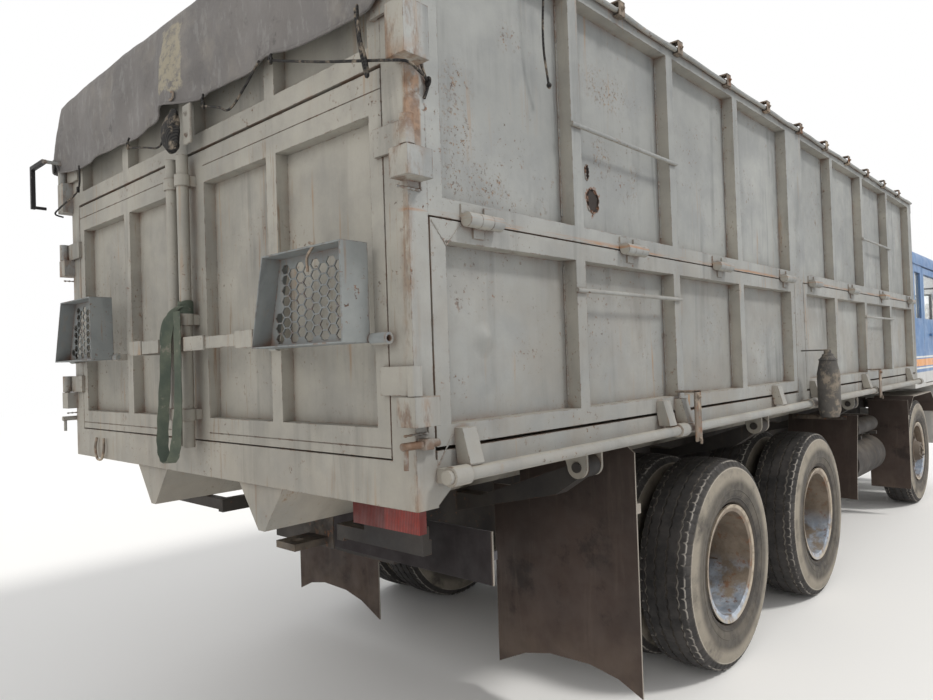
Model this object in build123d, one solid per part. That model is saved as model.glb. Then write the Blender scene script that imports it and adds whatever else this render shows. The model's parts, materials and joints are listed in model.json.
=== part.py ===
from build123d import *
import os

# Side-tipping dump truck on three axles: forward-control cab, ladder frame, ribbed steel body
# with drop flaps along both sides, two rear doors and a cover sheet over the top.
# Millimetres. +X runs forward, +Y to the truck's left, +Z up from the ground.
# Stations along X start at the rear face of the body's corner posts. The export at the end
# moves the truck so that the origin lies on the ground under the middle of its length.

# Wheels and axles
TYRE_RADIUS = 513
TYRE_WIDTH = 272
RIM_RADIUS = 286
RIM_LIP = 26
DUAL_GAP = 53
BOGIE_SPACING = 1370
KINGPIN_RADIUS = 22
KNUCKLE_REACH = 95
AXLE_TUBE_RADIUS = 75
SPINDLE_RADIUS = 42
RUNNING_CLEARANCE = 0.05
SEAT_GAP = 0.3

# Ladder frame
FRAME_RISE = 467
FRAME_RAIL_HEIGHT = 250
FRAME_RAIL_WIDTH = 80
FRAME_RAIL_WALL = 10

# Body, from its beams on the frame up to the top of its sides
BODY_LENGTH = 6430
BODY_HALF_WIDTH = 1250
SIDE_DEPTH = 60
SHEET = 4
MOVING_GAP = 5
BEAM_DROP = 164
BEAM_HALF_WIDTH = 145
BEAM_TIP_HALF_WIDTH = 20
SILL_HEIGHT = 133
SILL_DEPTH = 80
SIDE_RAIL_RISE = 60
SIDE_RAIL_HEIGHT = 96
SIDE_RAIL_WIDTH = 80
FLOOR_THICKNESS = 40
FLAP_GAP = 11
FLAP_HEIGHT = 642
UPPER_SIDE_HEIGHT = 944
POST_LENGTH = 73
POST_WIDTH = 96
CENTRE_POST_LENGTH = 153
RAIL_WIDTH = 60
RIB_WIDTH = 60

# Rear doors
DOOR_DEPTH = 50
DOOR_HEIGHT = 1097
DOOR_STILE = 55
DOOR_MEETING_STILE = 120
DOOR_BOTTOM_RAIL = 85
DOOR_TOP_RAIL = 122
UPPER_DOOR_GAP = 11
DOOR_PIN_X = -30
DOOR_PIN_RADIUS = 12
LOCK_ROD_Y = 45
LOCK_ROD_RADIUS = 22

# Tipping gear
TIP_PIN_RADIUS = 20
TIP_BOSS_RADIUS = 44
TIP_ARM_WIDTH = 80
TIP_ARM_ROOT = 95
TIP_LUG_WALL = 14
RAM_RADIUS = 82

# Cab
CAB_LENGTH = 1660
CAB_HEIGHT = 1380
CAB_GAP = 170
CAB_WALL = 45
CAB_CORNER = 140
CAB_DOOR_WIDTH = 940
CAB_DOOR_GAP = 8
GLASS = 6
BUMPER_REACH = 80

# Stations of the body's pieces are written for a body of this length and move in step with it
DRAWN_LENGTH = 6430


def along(x):
    return x * BODY_LENGTH / DRAWN_LENGTH


# Heights worked out from the sizes above
AXLE_Z = TYRE_RADIUS
FRAME_TOP = AXLE_Z + FRAME_RISE
FRAME_BOTTOM = FRAME_TOP - FRAME_RAIL_HEIGHT
SILL_BOTTOM = FRAME_TOP + MOVING_GAP + BEAM_DROP
SILL_TOP = SILL_BOTTOM + SILL_HEIGHT
SIDE_RAIL_BOTTOM = SILL_BOTTOM + SIDE_RAIL_RISE
FLOOR_TOP = SIDE_RAIL_BOTTOM + SIDE_RAIL_HEIGHT
FLOOR_BOTTOM = FLOOR_TOP - FLOOR_THICKNESS
FLAP_BOTTOM = FLOOR_TOP + FLAP_GAP
FLAP_TOP = FLAP_BOTTOM + FLAP_HEIGHT
SEAM_Z = FLAP_TOP + MOVING_GAP
SIDE_TOP = SEAM_Z + UPPER_SIDE_HEIGHT
DOOR_BOTTOM = SILL_TOP + MOVING_GAP
DOOR_TOP = DOOR_BOTTOM + DOOR_HEIGHT
UPPER_DOOR_BOTTOM = DOOR_TOP + UPPER_DOOR_GAP
TIP_AXIS_Z = FRAME_TOP + 150
RAM_PIVOT_Z = FRAME_BOTTOM - 10
RAM_EYE_Z = FLOOR_BOTTOM - 100
CAB_BOTTOM = FRAME_TOP + 170
CAB_ROOF = CAB_BOTTOM + CAB_HEIGHT
CAB_PIVOT_Z = FRAME_TOP - 50
CAB_DOOR_BOTTOM = CAB_BOTTOM + 40
CAB_DOOR_TOP = CAB_ROOF - 175
WINDOW_BOTTOM = CAB_BOTTOM + 685
WINDOW_TOP = CAB_ROOF - 240

# Distances from the middle of the truck
POST_INNER_Y = BODY_HALF_WIDTH - POST_WIDTH
DOOR_EDGE_Y = POST_INNER_Y - MOVING_GAP
DOOR_RIB_Y = DOOR_EDGE_Y - 564
DOOR_PIN_Y = BODY_HALF_WIDTH + 35
FLAP_HINGE_RADIUS = 22
FLAP_HINGE_Y = BODY_HALF_WIDTH + FLAP_HINGE_RADIUS + 3
TIP_AXIS_Y = BODY_HALF_WIDTH - 150
FRAME_HALF_WIDTH = BODY_HALF_WIDTH - 817
FRAME_INNER_Y = FRAME_HALF_WIDTH - FRAME_RAIL_WIDTH
BEAM_Y = FRAME_HALF_WIDTH - 3
DUAL_OUTER_FACE = BODY_HALF_WIDTH - 30
DUAL_OUTER_Y = DUAL_OUTER_FACE - TYRE_WIDTH / 2
DUAL_INNER_Y = DUAL_OUTER_Y - TYRE_WIDTH - DUAL_GAP
FRONT_OUTER_FACE = BODY_HALF_WIDTH - 100
FRONT_WHEEL_Y = FRONT_OUTER_FACE - TYRE_WIDTH / 2
KINGPIN_Y = FRONT_OUTER_FACE - 300
CAB_HALF_WIDTH = BODY_HALF_WIDTH - 50
CAB_PIVOT_Y = FRAME_HALF_WIDTH + 107

# Stations along the truck
REAR_AXLE_X = along(2150)
MID_AXLE_X = REAR_AXLE_X + BOGIE_SPACING
BOGIE_X = REAR_AXLE_X + BOGIE_SPACING / 2
CENTRE_POST_X = along(3093)
CENTRE_POST_FRONT_X = CENTRE_POST_X + CENTRE_POST_LENGTH
FRONT_POST_X = BODY_LENGTH - POST_LENGTH
RAM_X = along(4350)
CAB_REAR_X = BODY_LENGTH + CAB_GAP
CAB_FRONT_X = CAB_REAR_X + CAB_LENGTH
CAB_PIVOT_X = CAB_FRONT_X - 170
CAB_DOOR_FRONT_X = CAB_FRONT_X - 190
CAB_DOOR_REAR_X = CAB_DOOR_FRONT_X - CAB_DOOR_WIDTH
BUMPER_FRONT_X = CAB_FRONT_X + BUMPER_REACH
FRONT_AXLE_X = CAB_FRONT_X - 1290
FRAME_REAR_X = along(620)
FRAME_FRONT_X = CAB_FRONT_X - 260
RIM_SEAT_RADIUS = RIM_RADIUS - RIM_LIP


def block(x0, x1, y0, y1, z0, z1):
    """A box between two corners."""
    return Pos((x0 + x1) / 2, (y0 + y1) / 2, (z0 + z1) / 2) * Box(x1 - x0, y1 - y0, z1 - z0)


def rod_x(x0, x1, y, z, radius):
    return Pos((x0 + x1) / 2, y, z) * Rot(0, 90, 0) * Cylinder(radius, x1 - x0)


def rod_y(y0, y1, x, z, radius):
    return Pos(x, (y0 + y1) / 2, z) * Rot(90, 0, 0) * Cylinder(radius, y1 - y0)


def rod_z(z0, z1, x, y, radius):
    return Pos(x, y, (z0 + z1) / 2) * Cylinder(radius, z1 - z0)


def prism_x(outline_yz, x0, x1):
    """A closed outline of (y, z) points, extruded from x0 to x1."""
    wire = Polyline(*[(x0, y, z) for y, z in outline_yz], close=True)
    return extrude(make_face(wire), amount=x1 - x0, dir=(1, 0, 0))


def prism_y(outline_xz, y0, y1):
    """A closed outline of (x, z) points, extruded from y0 to y1."""
    wire = Polyline(*[(x, y0, z) for x, z in outline_xz], close=True)
    return extrude(make_face(wire), amount=y1 - y0, dir=(0, 1, 0))


def to_left(shape):
    """The same piece on the truck's left side."""
    return mirror(shape, about=Plane.XZ)


def both_sides(*pieces):
    return list(pieces) + [to_left(piece) for piece in pieces]


def fused(pieces):
    """One solid from pieces that touch or overlap."""
    whole = pieces[0]
    for piece in pieces[1:]:
        whole = whole + piece
    return whole


def turned_profile(profile_ry, x, y, z):
    """A closed (radius, y) outline turned about a wheel's axis, which runs along Y."""
    wire = Polyline(*[(radius, along, 0) for radius, along in profile_ry], close=True)
    return Pos(x, y, z) * revolve(make_face(wire), axis=Axis.Y)


NODES = {}


def node(name, *solids):
    NODES[name] = list(solids)


def ribbed_panel(u0, u1, z0, z1, depth, rails, stiles, ribs, rib_width):
    """A sheet with rails and ribs outside it. It lies along +X with its inner face at y = 0.

    rails are the (bottom, top) heights, stiles the (first, last) widths, and ribs the
    stations where a rib starts.
    """
    frame = [
        block(u0, u1, -SHEET, 0, z0, z1),
        block(u0, u1, -depth, 0, z0, z0 + rails[0]),
        block(u0, u1, -depth, 0, z1 - rails[1], z1),
        block(u0, u0 + stiles[0], -depth, 0, z0, z1),
        block(u1 - stiles[1], u1, -depth, 0, z0, z1),
    ]
    frame += [block(u, u + rib_width, -depth, 0, z0, z1) for u in ribs]
    return fused(frame)


# Ribs of the sides as the stations of their rear edges, rear half then front half
REAR_HALF_RIBS = [along(x) for x in (800, 1545, 2262)]
FRONT_HALF_RIBS = [along(x) for x in (3900, 4665, 5458)]
REAR_HALF_HINGES = [along(x) for x in (280, 1175, 2020, 2920)]
FRONT_HALF_HINGES = [along(x) for x in (3420, 4300, 5200, 6190)]
RUNG_RADIUS = 8
RUNG_OVERRUN = 10
FLAP_RUNG_Z = FLAP_TOP - 168
UPPER_RUNG_Z = SEAM_Z + 417
HINGE_KNUCKLE = 50
HINGE_GAP = 1
LEAF_HEIGHT = 48
LEAF_WALL = 6


def on_right_side(panel):
    """Moves a panel from y = 0 to the inner face of the right side."""
    return Pos(0, -(BODY_HALF_WIDTH - SIDE_DEPTH), 0) * panel


def rung(x0, x1, z):
    """A round bar welded across the faces of two ribs."""
    return rod_x(x0, x1, -BODY_HALF_WIDTH - RUNG_RADIUS + 1, z, RUNG_RADIUS)


def flap_hinge_piece(x0, x1, direction):
    """Knuckle and leaf of a flap hinge; direction is 1 for the upper side, -1 for the flap."""
    knuckle = rod_x(x0, x1, -FLAP_HINGE_Y, SEAM_Z, FLAP_HINGE_RADIUS)
    leaf_low, leaf_high = sorted([SEAM_Z + direction * 8, SEAM_Z + direction * LEAF_HEIGHT])
    leaf = block(x0, x1, -BODY_HALF_WIDTH - LEAF_WALL, -BODY_HALF_WIDTH, leaf_low, leaf_high)
    web = block(x0, x1, -FLAP_HINGE_Y, -BODY_HALF_WIDTH,
        *sorted([SEAM_Z + direction * 8, SEAM_Z + direction * 20]))
    return fused([knuckle, leaf, web])


PIN_RADIUS = 9


def flap_hinge_holes(centres):
    """Bores of the flap's knuckles."""
    bore = PIN_RADIUS + RUNNING_CLEARANCE
    return [rod_x(x - HINGE_KNUCKLE, x + HINGE_KNUCKLE, -FLAP_HINGE_Y, SEAM_Z, bore) for x in centres]


def right_flap(x0, x1, ribs, hinges, rung_span):
    panel = on_right_side(
        ribbed_panel(x0, x1, FLAP_BOTTOM, FLAP_TOP, SIDE_DEPTH, (58, 61), (RAIL_WIDTH, RAIL_WIDTH), ribs,
        RIB_WIDTH)
    )
    pieces = [panel, rung(*rung_span, FLAP_RUNG_Z)]
    pieces += [flap_hinge_piece(x - HINGE_KNUCKLE / 2, x + HINGE_KNUCKLE / 2, -1) for x in hinges]
    solid = fused(pieces)
    for hole in flap_hinge_holes(hinges):
        solid = solid - hole
    return solid


REAR_FLAP_SPAN = (POST_LENGTH + 7, CENTRE_POST_X - MOVING_GAP)
FRONT_FLAP_SPAN = (CENTRE_POST_FRONT_X + MOVING_GAP, FRONT_POST_X - 7)
REAR_RUNG = (REAR_HALF_RIBS[0] - RUNG_OVERRUN, REAR_HALF_RIBS[1] + RIB_WIDTH - RUNG_OVERRUN)
FRONT_RUNG = (FRONT_HALF_RIBS[1] - RUNG_OVERRUN, FRONT_HALF_RIBS[2] + RIB_WIDTH + RUNG_OVERRUN)

# Latch claws on the flaps, as the stations of their rear edges
REAR_CLAWS = [POST_LENGTH + 79] + [along(x) for x in (1350, 1510, 2660)]
FRONT_CLAWS = [along(x) for x in (3300, 4490, 5950)]
CLAW_LENGTH = 60
LATCH_SHAFT_Y = BODY_HALF_WIDTH + 50
LATCH_SHAFT_Z = SIDE_RAIL_BOTTOM + 29
LATCH_SHAFT_RADIUS = 20
SLEEVE_RADIUS = 28


def claw(x):
    """A wedge of bar on the flap's bottom rail, standing over the latch shaft."""
    face = -BODY_HALF_WIDTH
    low = LATCH_SHAFT_Z + LATCH_SHAFT_RADIUS + MOVING_GAP
    return prism_x(
        [(face, FLAP_BOTTOM), (face, FLAP_BOTTOM + 48), (face - 30, FLAP_BOTTOM + 48), (face - 58, low),
        (face - 8, low)],
        x, x + CLAW_LENGTH,
    )


rear_right_flap = fused(
    [right_flap(*REAR_FLAP_SPAN, REAR_HALF_RIBS, REAR_HALF_HINGES, REAR_RUNG)] + [claw(x) for x in REAR_CLAWS]
)
front_right_flap = fused(
    [right_flap(*FRONT_FLAP_SPAN, FRONT_HALF_RIBS, FRONT_HALF_HINGES,
    FRONT_RUNG)] + [claw(x) for x in FRONT_CLAWS]
)
node("flap_rear_right", rear_right_flap)
node("flap_front_right", front_right_flap)
node("flap_rear_left", to_left(rear_right_flap))
node("flap_front_left", to_left(front_right_flap))


# Upper sides, with the centre post and the fixed halves of the flap hinges
def fixed_hinge(x):
    """The two outer knuckles of a flap hinge and the pin between them."""
    inner = HINGE_KNUCKLE / 2 + HINGE_GAP
    outer = inner + HINGE_KNUCKLE
    pin = rod_x(x - outer, x + outer, -FLAP_HINGE_Y, SEAM_Z, PIN_RADIUS)
    return [flap_hinge_piece(x - outer, x - inner, 1), flap_hinge_piece(x + inner, x + outer, 1), pin]


def upper_side():
    top = SIDE_TOP
    halves = [
        ribbed_panel(POST_LENGTH, CENTRE_POST_X, SEAM_Z, top, SIDE_DEPTH, (56, 60), (RAIL_WIDTH, RAIL_WIDTH),
                     REAR_HALF_RIBS, RIB_WIDTH),
        ribbed_panel(CENTRE_POST_FRONT_X, FRONT_POST_X, SEAM_Z, top, SIDE_DEPTH, (56, 60),
        (RAIL_WIDTH, RAIL_WIDTH),
                     FRONT_HALF_RIBS, RIB_WIDTH),
    ]
    post = block(CENTRE_POST_X, CENTRE_POST_FRONT_X, -SIDE_DEPTH, 0, FLOOR_TOP, top)
    pieces = [on_right_side(piece) for piece in halves + [post]]
    for x in REAR_HALF_HINGES + FRONT_HALF_HINGES:
        pieces += fixed_hinge(x)
    pieces += [rung(*REAR_RUNG, UPPER_RUNG_Z), rung(*FRONT_RUNG, UPPER_RUNG_Z)]
    return fused(pieces)


right_upper_side = upper_side()
node("side_upper_right", right_upper_side)
node("side_upper_left", to_left(right_upper_side))


# Rear frame: corner posts and sill, with the door hinge blocks
def post_outline():
    return block(0, POST_LENGTH, -BODY_HALF_WIDTH, -POST_INNER_Y, SILL_BOTTOM, SIDE_TOP)


HINGE_BLOCK_HEIGHT = 80
DOOR_STRAPS_Z = [DOOR_BOTTOM + 177, DOOR_BOTTOM + 843]
STRAP_HEIGHT = 80
STRAP_WALL = 10
UPPER_STRAP_Z = UPPER_DOOR_BOTTOM + 125
UPPER_BLOCK_HEIGHT = 148


def post_hinge_block(z_top, height):
    """A block at the post's outer edge with a pin standing up from it."""
    z0 = z_top - height
    body = block(DOOR_PIN_X - 18, 45, -DOOR_PIN_Y - 18, -BODY_HALF_WIDTH, z0, z_top)
    reach = block(DOOR_PIN_X - 18, 0, -DOOR_PIN_Y - 18, -BODY_HALF_WIDTH + 20, z0, z_top)
    pin = rod_z(z_top, z_top + STRAP_HEIGHT + 2, DOOR_PIN_X, -DOOR_PIN_Y, DOOR_PIN_RADIUS)
    return [body, reach, pin]


post_blocks = post_hinge_block(UPPER_STRAP_Z - 2, UPPER_BLOCK_HEIGHT)
for z in DOOR_STRAPS_Z:
    post_blocks += post_hinge_block(z - 2, HINGE_BLOCK_HEIGHT)
right_post = fused([post_outline()] + post_blocks)
sill = block(0, SILL_DEPTH, -BODY_HALF_WIDTH, BODY_HALF_WIDTH, SILL_BOTTOM, SILL_TOP)

# Bolt beside the sill, drawn back clear of the flap, in a sleeve with a handle bent down
BOLT_RADIUS = 11
BOLT_Z = FLAP_BOTTOM + 16
bolt_y = -BODY_HALF_WIDTH - BOLT_RADIUS - 3
slide_bolt = fused([
    rod_x(-62, POST_LENGTH - 3, bolt_y, BOLT_Z, BOLT_RADIUS),
    block(8, 42, bolt_y - BOLT_RADIUS - 3, -BODY_HALF_WIDTH + 2, BOLT_Z - BOLT_RADIUS - 4,
    BOLT_Z + BOLT_RADIUS + 4),
    rod_z(BOLT_Z - 62, BOLT_Z + 3, -50, bolt_y, 7),
])

# Corner gusset between the post and the side rail
GUSSET_LENGTH = 77
gusset = prism_y(
    [(POST_LENGTH - 1, SIDE_RAIL_BOTTOM), (POST_LENGTH + GUSSET_LENGTH, SIDE_RAIL_BOTTOM),
    (POST_LENGTH - 1, SILL_BOTTOM)],
    -BODY_HALF_WIDTH, -BODY_HALF_WIDTH + 8,
)

# Crank of the cover's roller at the left post, its arm ending above the rear doors
CRANK_X = -122
CRANK_Z = UPPER_DOOR_BOTTOM + 222
CRANK_REACH = 186
CRANK_BAR = 20
crank_y = BODY_HALF_WIDTH + CRANK_REACH
crank_foot_z = UPPER_DOOR_BOTTOM + 14
half_bar = CRANK_BAR / 2
crank_arm = prism_x(
    [(BODY_HALF_WIDTH + 4, CRANK_Z - half_bar), (crank_y - half_bar, CRANK_Z - half_bar),
     (crank_y - half_bar, crank_foot_z), (crank_y + half_bar, crank_foot_z),
     (crank_y + half_bar, CRANK_Z + half_bar), (BODY_HALF_WIDTH + 4, CRANK_Z + half_bar)],
    CRANK_X - half_bar, CRANK_X + half_bar,
)
crank = fused([
    crank_arm,
    block(CRANK_X, 40, BODY_HALF_WIDTH - 1, BODY_HALF_WIDTH + 14, CRANK_Z - half_bar + 3,
    CRANK_Z + half_bar - 3),
    rod_x(CRANK_X, CRANK_X + 60, crank_y, crank_foot_z + 9, 8),
])
rear_frame = fused(
    [sill, right_post, to_left(right_post), slide_bolt, to_left(slide_bolt), gusset, to_left(gusset), crank]
)
node("rear_frame", rear_frame)


# Body floor with its side rails and cross-members
CROSS_MEMBER_X = [along(x) for x in (400, 1000, 1600, 2200, 2835, 3400, 4000, 4700, 5300, 5900)]
CROSS_MEMBER_WIDTH = 80
rail_inner = BODY_HALF_WIDTH - SIDE_RAIL_WIDTH
floor_pieces = [
    block(SILL_DEPTH, FRONT_POST_X, -rail_inner, rail_inner, FLOOR_BOTTOM, FLOOR_TOP),
    block(SILL_DEPTH, FRONT_POST_X, -BODY_HALF_WIDTH, -rail_inner, SIDE_RAIL_BOTTOM, FLOOR_TOP),
    block(SILL_DEPTH, FRONT_POST_X, rail_inner, BODY_HALF_WIDTH, SIDE_RAIL_BOTTOM, FLOOR_TOP),
]
floor_pieces += [
    block(x, x + CROSS_MEMBER_WIDTH, -rail_inner, rail_inner, SIDE_RAIL_BOTTOM,
    FLOOR_BOTTOM) for x in CROSS_MEMBER_X
]

# Tipping lugs hang from the floor on each side of a support arm
SUPPORT_X = [along(1040), BOGIE_X, along(4740)]
lug_inner = TIP_ARM_WIDTH / 2 + MOVING_GAP


def tip_lug(x0):
    plate = prism_x(
        [(-TIP_AXIS_Y - TIP_BOSS_RADIUS, FLOOR_BOTTOM), (-TIP_AXIS_Y - TIP_BOSS_RADIUS, TIP_AXIS_Z),
         (-TIP_AXIS_Y + TIP_BOSS_RADIUS, TIP_AXIS_Z), (-TIP_AXIS_Y + 90, FLOOR_BOTTOM)],
        x0, x0 + TIP_LUG_WALL,
    )
    foot = rod_x(x0, x0 + TIP_LUG_WALL, -TIP_AXIS_Y, TIP_AXIS_Z, TIP_BOSS_RADIUS)
    hole = rod_x(x0 - 1, x0 + TIP_LUG_WALL + 1, -TIP_AXIS_Y, TIP_AXIS_Z, TIP_PIN_RADIUS + RUNNING_CLEARANCE)
    return plate + foot - hole


lugs = []
for x in SUPPORT_X:
    lugs += [tip_lug(x - lug_inner - TIP_LUG_WALL), tip_lug(x + lug_inner)]

# The ram's upper bracket: two plates under the floor
RAM_EYE_WIDTH = 80
bracket_inner = RAM_EYE_WIDTH / 2 + MOVING_GAP
ram_bracket = [
    block(RAM_X + s * (bracket_inner + 8) - 8, RAM_X + s * (bracket_inner + 8) + 8, -60, 60,
    RAM_EYE_Z - 40, FLOOR_BOTTOM)
    for s in (-1, 1)
]
node("bed_floor", fused(floor_pieces + lugs + [to_left(lug) for lug in lugs] + ram_bracket))

# Two V-section beams that sit over the frame rails
BEAM_REAR_X = 20


def v_beam():
    vee = prism_x(
        [(-BEAM_Y - BEAM_HALF_WIDTH, SILL_BOTTOM), (-BEAM_Y + BEAM_HALF_WIDTH, SILL_BOTTOM),
         (-BEAM_Y + BEAM_TIP_HALF_WIDTH, SILL_BOTTOM - BEAM_DROP),
         (-BEAM_Y - BEAM_TIP_HALF_WIDTH, SILL_BOTTOM - BEAM_DROP)],
        BEAM_REAR_X, FRONT_POST_X,
    )
    upstand = block(SILL_DEPTH, FRONT_POST_X, -BEAM_Y - BEAM_HALF_WIDTH, -BEAM_Y + BEAM_HALF_WIDTH,
        SILL_BOTTOM, SIDE_RAIL_BOTTOM)
    return vee + upstand


right_beam = v_beam()
node("bed_beams", *both_sides(right_beam))

# Front wall of the body between its corner posts
FRONT_WALL_RIBS_Y = [-880, -400, 340, 820]
wall_ribs = [block(FRONT_POST_X, FRONT_POST_X + 50, y, y + RIB_WIDTH, SIDE_RAIL_BOTTOM,
    SIDE_TOP) for y in FRONT_WALL_RIBS_Y]
front_wall = fused(
    [block(FRONT_POST_X, FRONT_POST_X + SHEET, -POST_INNER_Y, POST_INNER_Y, SIDE_RAIL_BOTTOM, SIDE_TOP),
     block(FRONT_POST_X, BODY_LENGTH, -BODY_HALF_WIDTH, -POST_INNER_Y, SIDE_RAIL_BOTTOM, SIDE_TOP),
     block(FRONT_POST_X, BODY_LENGTH, POST_INNER_Y, BODY_HALF_WIDTH, SIDE_RAIL_BOTTOM, SIDE_TOP),
     block(FRONT_POST_X, FRONT_POST_X + 50, -POST_INNER_Y, POST_INNER_Y, SIDE_RAIL_BOTTOM,
     SIDE_RAIL_BOTTOM + 100),
     block(FRONT_POST_X, FRONT_POST_X + 50, -POST_INNER_Y, POST_INNER_Y, SIDE_TOP - 60, SIDE_TOP)] + wall_ribs
)
node("front_wall", front_wall)


# Rear doors: the panel lies along +X first and is then turned to face rearward
def facing_rear(panel):
    """Turns a panel about Z so that it runs to the right and its outside faces rearward."""
    return Pos(DOOR_DEPTH, 0, 0) * Rot(0, 0, -90) * panel


def door_strap(z, clearance):
    """A flat strap on the door that ends in an eye round the hinge pin."""
    outer_x = -MOVING_GAP - STRAP_WALL
    strap = block(outer_x, -MOVING_GAP, -DOOR_PIN_Y, -DOOR_EDGE_Y + 20, z, z + STRAP_HEIGHT)
    pad = block(outer_x, 0, -DOOR_EDGE_Y, -DOOR_EDGE_Y + 20, z, z + STRAP_HEIGHT)
    eye = rod_z(z, z + STRAP_HEIGHT, DOOR_PIN_X, -DOOR_PIN_Y, 20)
    hole = rod_z(z - 1, z + STRAP_HEIGHT + 1, DOOR_PIN_X, -DOOR_PIN_Y, DOOR_PIN_RADIUS + clearance)
    return strap + pad + eye - hole


COLLAR_Z = [DOOR_BOTTOM + 98, DOOR_BOTTOM + 458, DOOR_TOP - 109]
COLLAR_RADIUS = 29
LOCK_ROD_X = -45
LOCK_ROD_BOTTOM = DOOR_BOTTOM - 25
LOCK_ROD_TOP = DOOR_TOP - 12


def lock_rod():
    """Locking tube of a door with its collars, each on a foot against the door."""
    rod = rod_z(LOCK_ROD_BOTTOM, LOCK_ROD_TOP, LOCK_ROD_X, -LOCK_ROD_Y, LOCK_ROD_RADIUS)
    pieces = [rod]
    for z in COLLAR_Z:
        pieces.append(rod_z(z - 22, z + 22, LOCK_ROD_X, -LOCK_ROD_Y, COLLAR_RADIUS))
        pieces.append(block(LOCK_ROD_X, 0, -LOCK_ROD_Y - 20, -LOCK_ROD_Y + 20, z - 20, z + 20))
    return pieces


HANDLE_Z = DOOR_BOTTOM + 363
HANDLE_HALF = 21


def handle(reach):
    """Flat lever from the locking tube to a folded catch on the door."""
    lever_x = LOCK_ROD_X - LOCK_ROD_RADIUS - 12
    lever = block(lever_x, lever_x + 14, -reach, -LOCK_ROD_Y, HANDLE_Z - HANDLE_HALF, HANDLE_Z + HANDLE_HALF)
    root = block(lever_x, LOCK_ROD_X, -LOCK_ROD_Y - 24, -LOCK_ROD_Y + 20, HANDLE_Z - HANDLE_HALF - 6,
        HANDLE_Z + HANDLE_HALF + 6)
    cheek = block(lever_x - 8, lever_x, -LOCK_ROD_Y - 210, -LOCK_ROD_Y - 60, HANDLE_Z - HANDLE_HALF - 5,
        HANDLE_Z + HANDLE_HALF + 5)
    catch = block(lever_x - 8, 0, -reach + 15, -reach + 125, HANDLE_Z - HANDLE_HALF - 8,
        HANDLE_Z + HANDLE_HALF + 8)
    return [lever, root, cheek, catch]


# Thin grooves across the rear doors' rails
GROOVE = 3
TOP_GROOVE_Z = DOOR_TOP - 59
BOTTOM_GROOVE_Z = DOOR_BOTTOM + 27


def door_grooves():
    return [block(-1, GROOVE, -DOOR_EDGE_Y - 1, -DOOR_MEETING_STILE, z,
        z + GROOVE) for z in (TOP_GROOVE_Z, BOTTOM_GROOVE_Z)]


def rear_door(handle_reach):
    panel = facing_rear(
        ribbed_panel(4, DOOR_EDGE_Y, DOOR_BOTTOM, DOOR_TOP, DOOR_DEPTH, (DOOR_BOTTOM_RAIL, DOOR_TOP_RAIL),
                     (DOOR_MEETING_STILE, DOOR_STILE), [DOOR_RIB_Y - RIB_WIDTH / 2], RIB_WIDTH)
    )
    for groove in door_grooves():
        panel = panel - groove
    straps = [door_strap(z, RUNNING_CLEARANCE) for z in DOOR_STRAPS_Z]
    return fused([panel] + straps + lock_rod() + handle(handle_reach) + step_bearings())


# Fold-down steps on the doors, pivoted at their lower edge
STEP_PIVOT_X = -34
STEP_PIVOT_Z = DOOR_BOTTOM + 335
STEP_PIVOT_RADIUS = 9
STEP_EYE_RADIUS = 17
STEP_INNER_Y = DOOR_EDGE_Y - 489
STEP_OUTER_Y = DOOR_EDGE_Y - 29
STEP_OUTER_TUBE = 74
STEP_HEIGHT = 280
STEP_DEPTH = 95
STEP_TAPER = 70
STEP_WALL = 5


def step_bearings():
    """Two short tubes on the door in which the step's pivot turns."""
    bore = STEP_PIVOT_RADIUS + RUNNING_CLEARANCE
    pieces = []
    for y0, y1, foot_y1 in (
        (STEP_INNER_Y - 45, STEP_INNER_Y - MOVING_GAP, STEP_INNER_Y - MOVING_GAP),
        (STEP_OUTER_Y + MOVING_GAP, STEP_OUTER_Y + STEP_OUTER_TUBE, DOOR_EDGE_Y),
    ):
        eye = rod_y(-y1, -y0, STEP_PIVOT_X, STEP_PIVOT_Z, STEP_EYE_RADIUS)
        foot = block(STEP_PIVOT_X, 2, -foot_y1, -y0, STEP_PIVOT_Z - 14, STEP_PIVOT_Z + 14)
        pieces.append(eye + foot - rod_y(-y1 - 1, -y0 + 1, STEP_PIVOT_X, STEP_PIVOT_Z, bore))
    return pieces


# Cells of the step's expanded mesh: long hexagons in staggered rows
MESH_CELL_WIDTH = 46
MESH_CELL_HEIGHT = 28
MESH_STRAND = 5
MESH_PITCH_Y = MESH_CELL_WIDTH * 1.5 + MESH_STRAND * 1.6
MESH_PITCH_Z = MESH_CELL_HEIGHT / 2 + MESH_STRAND / 2


def mesh_cell(x0, x1, y, z):
    """Cutter for one cell; its points lie to the left and right."""
    wide, high = MESH_CELL_WIDTH / 2, MESH_CELL_HEIGHT / 2
    outline = [(-y - wide, z), (-y - wide / 2, z - high), (-y + wide / 2, z - high), (-y + wide, z),
               (-y + wide / 2, z + high), (-y - wide / 2, z + high)]
    return prism_x(outline, x0, x1)


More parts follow.
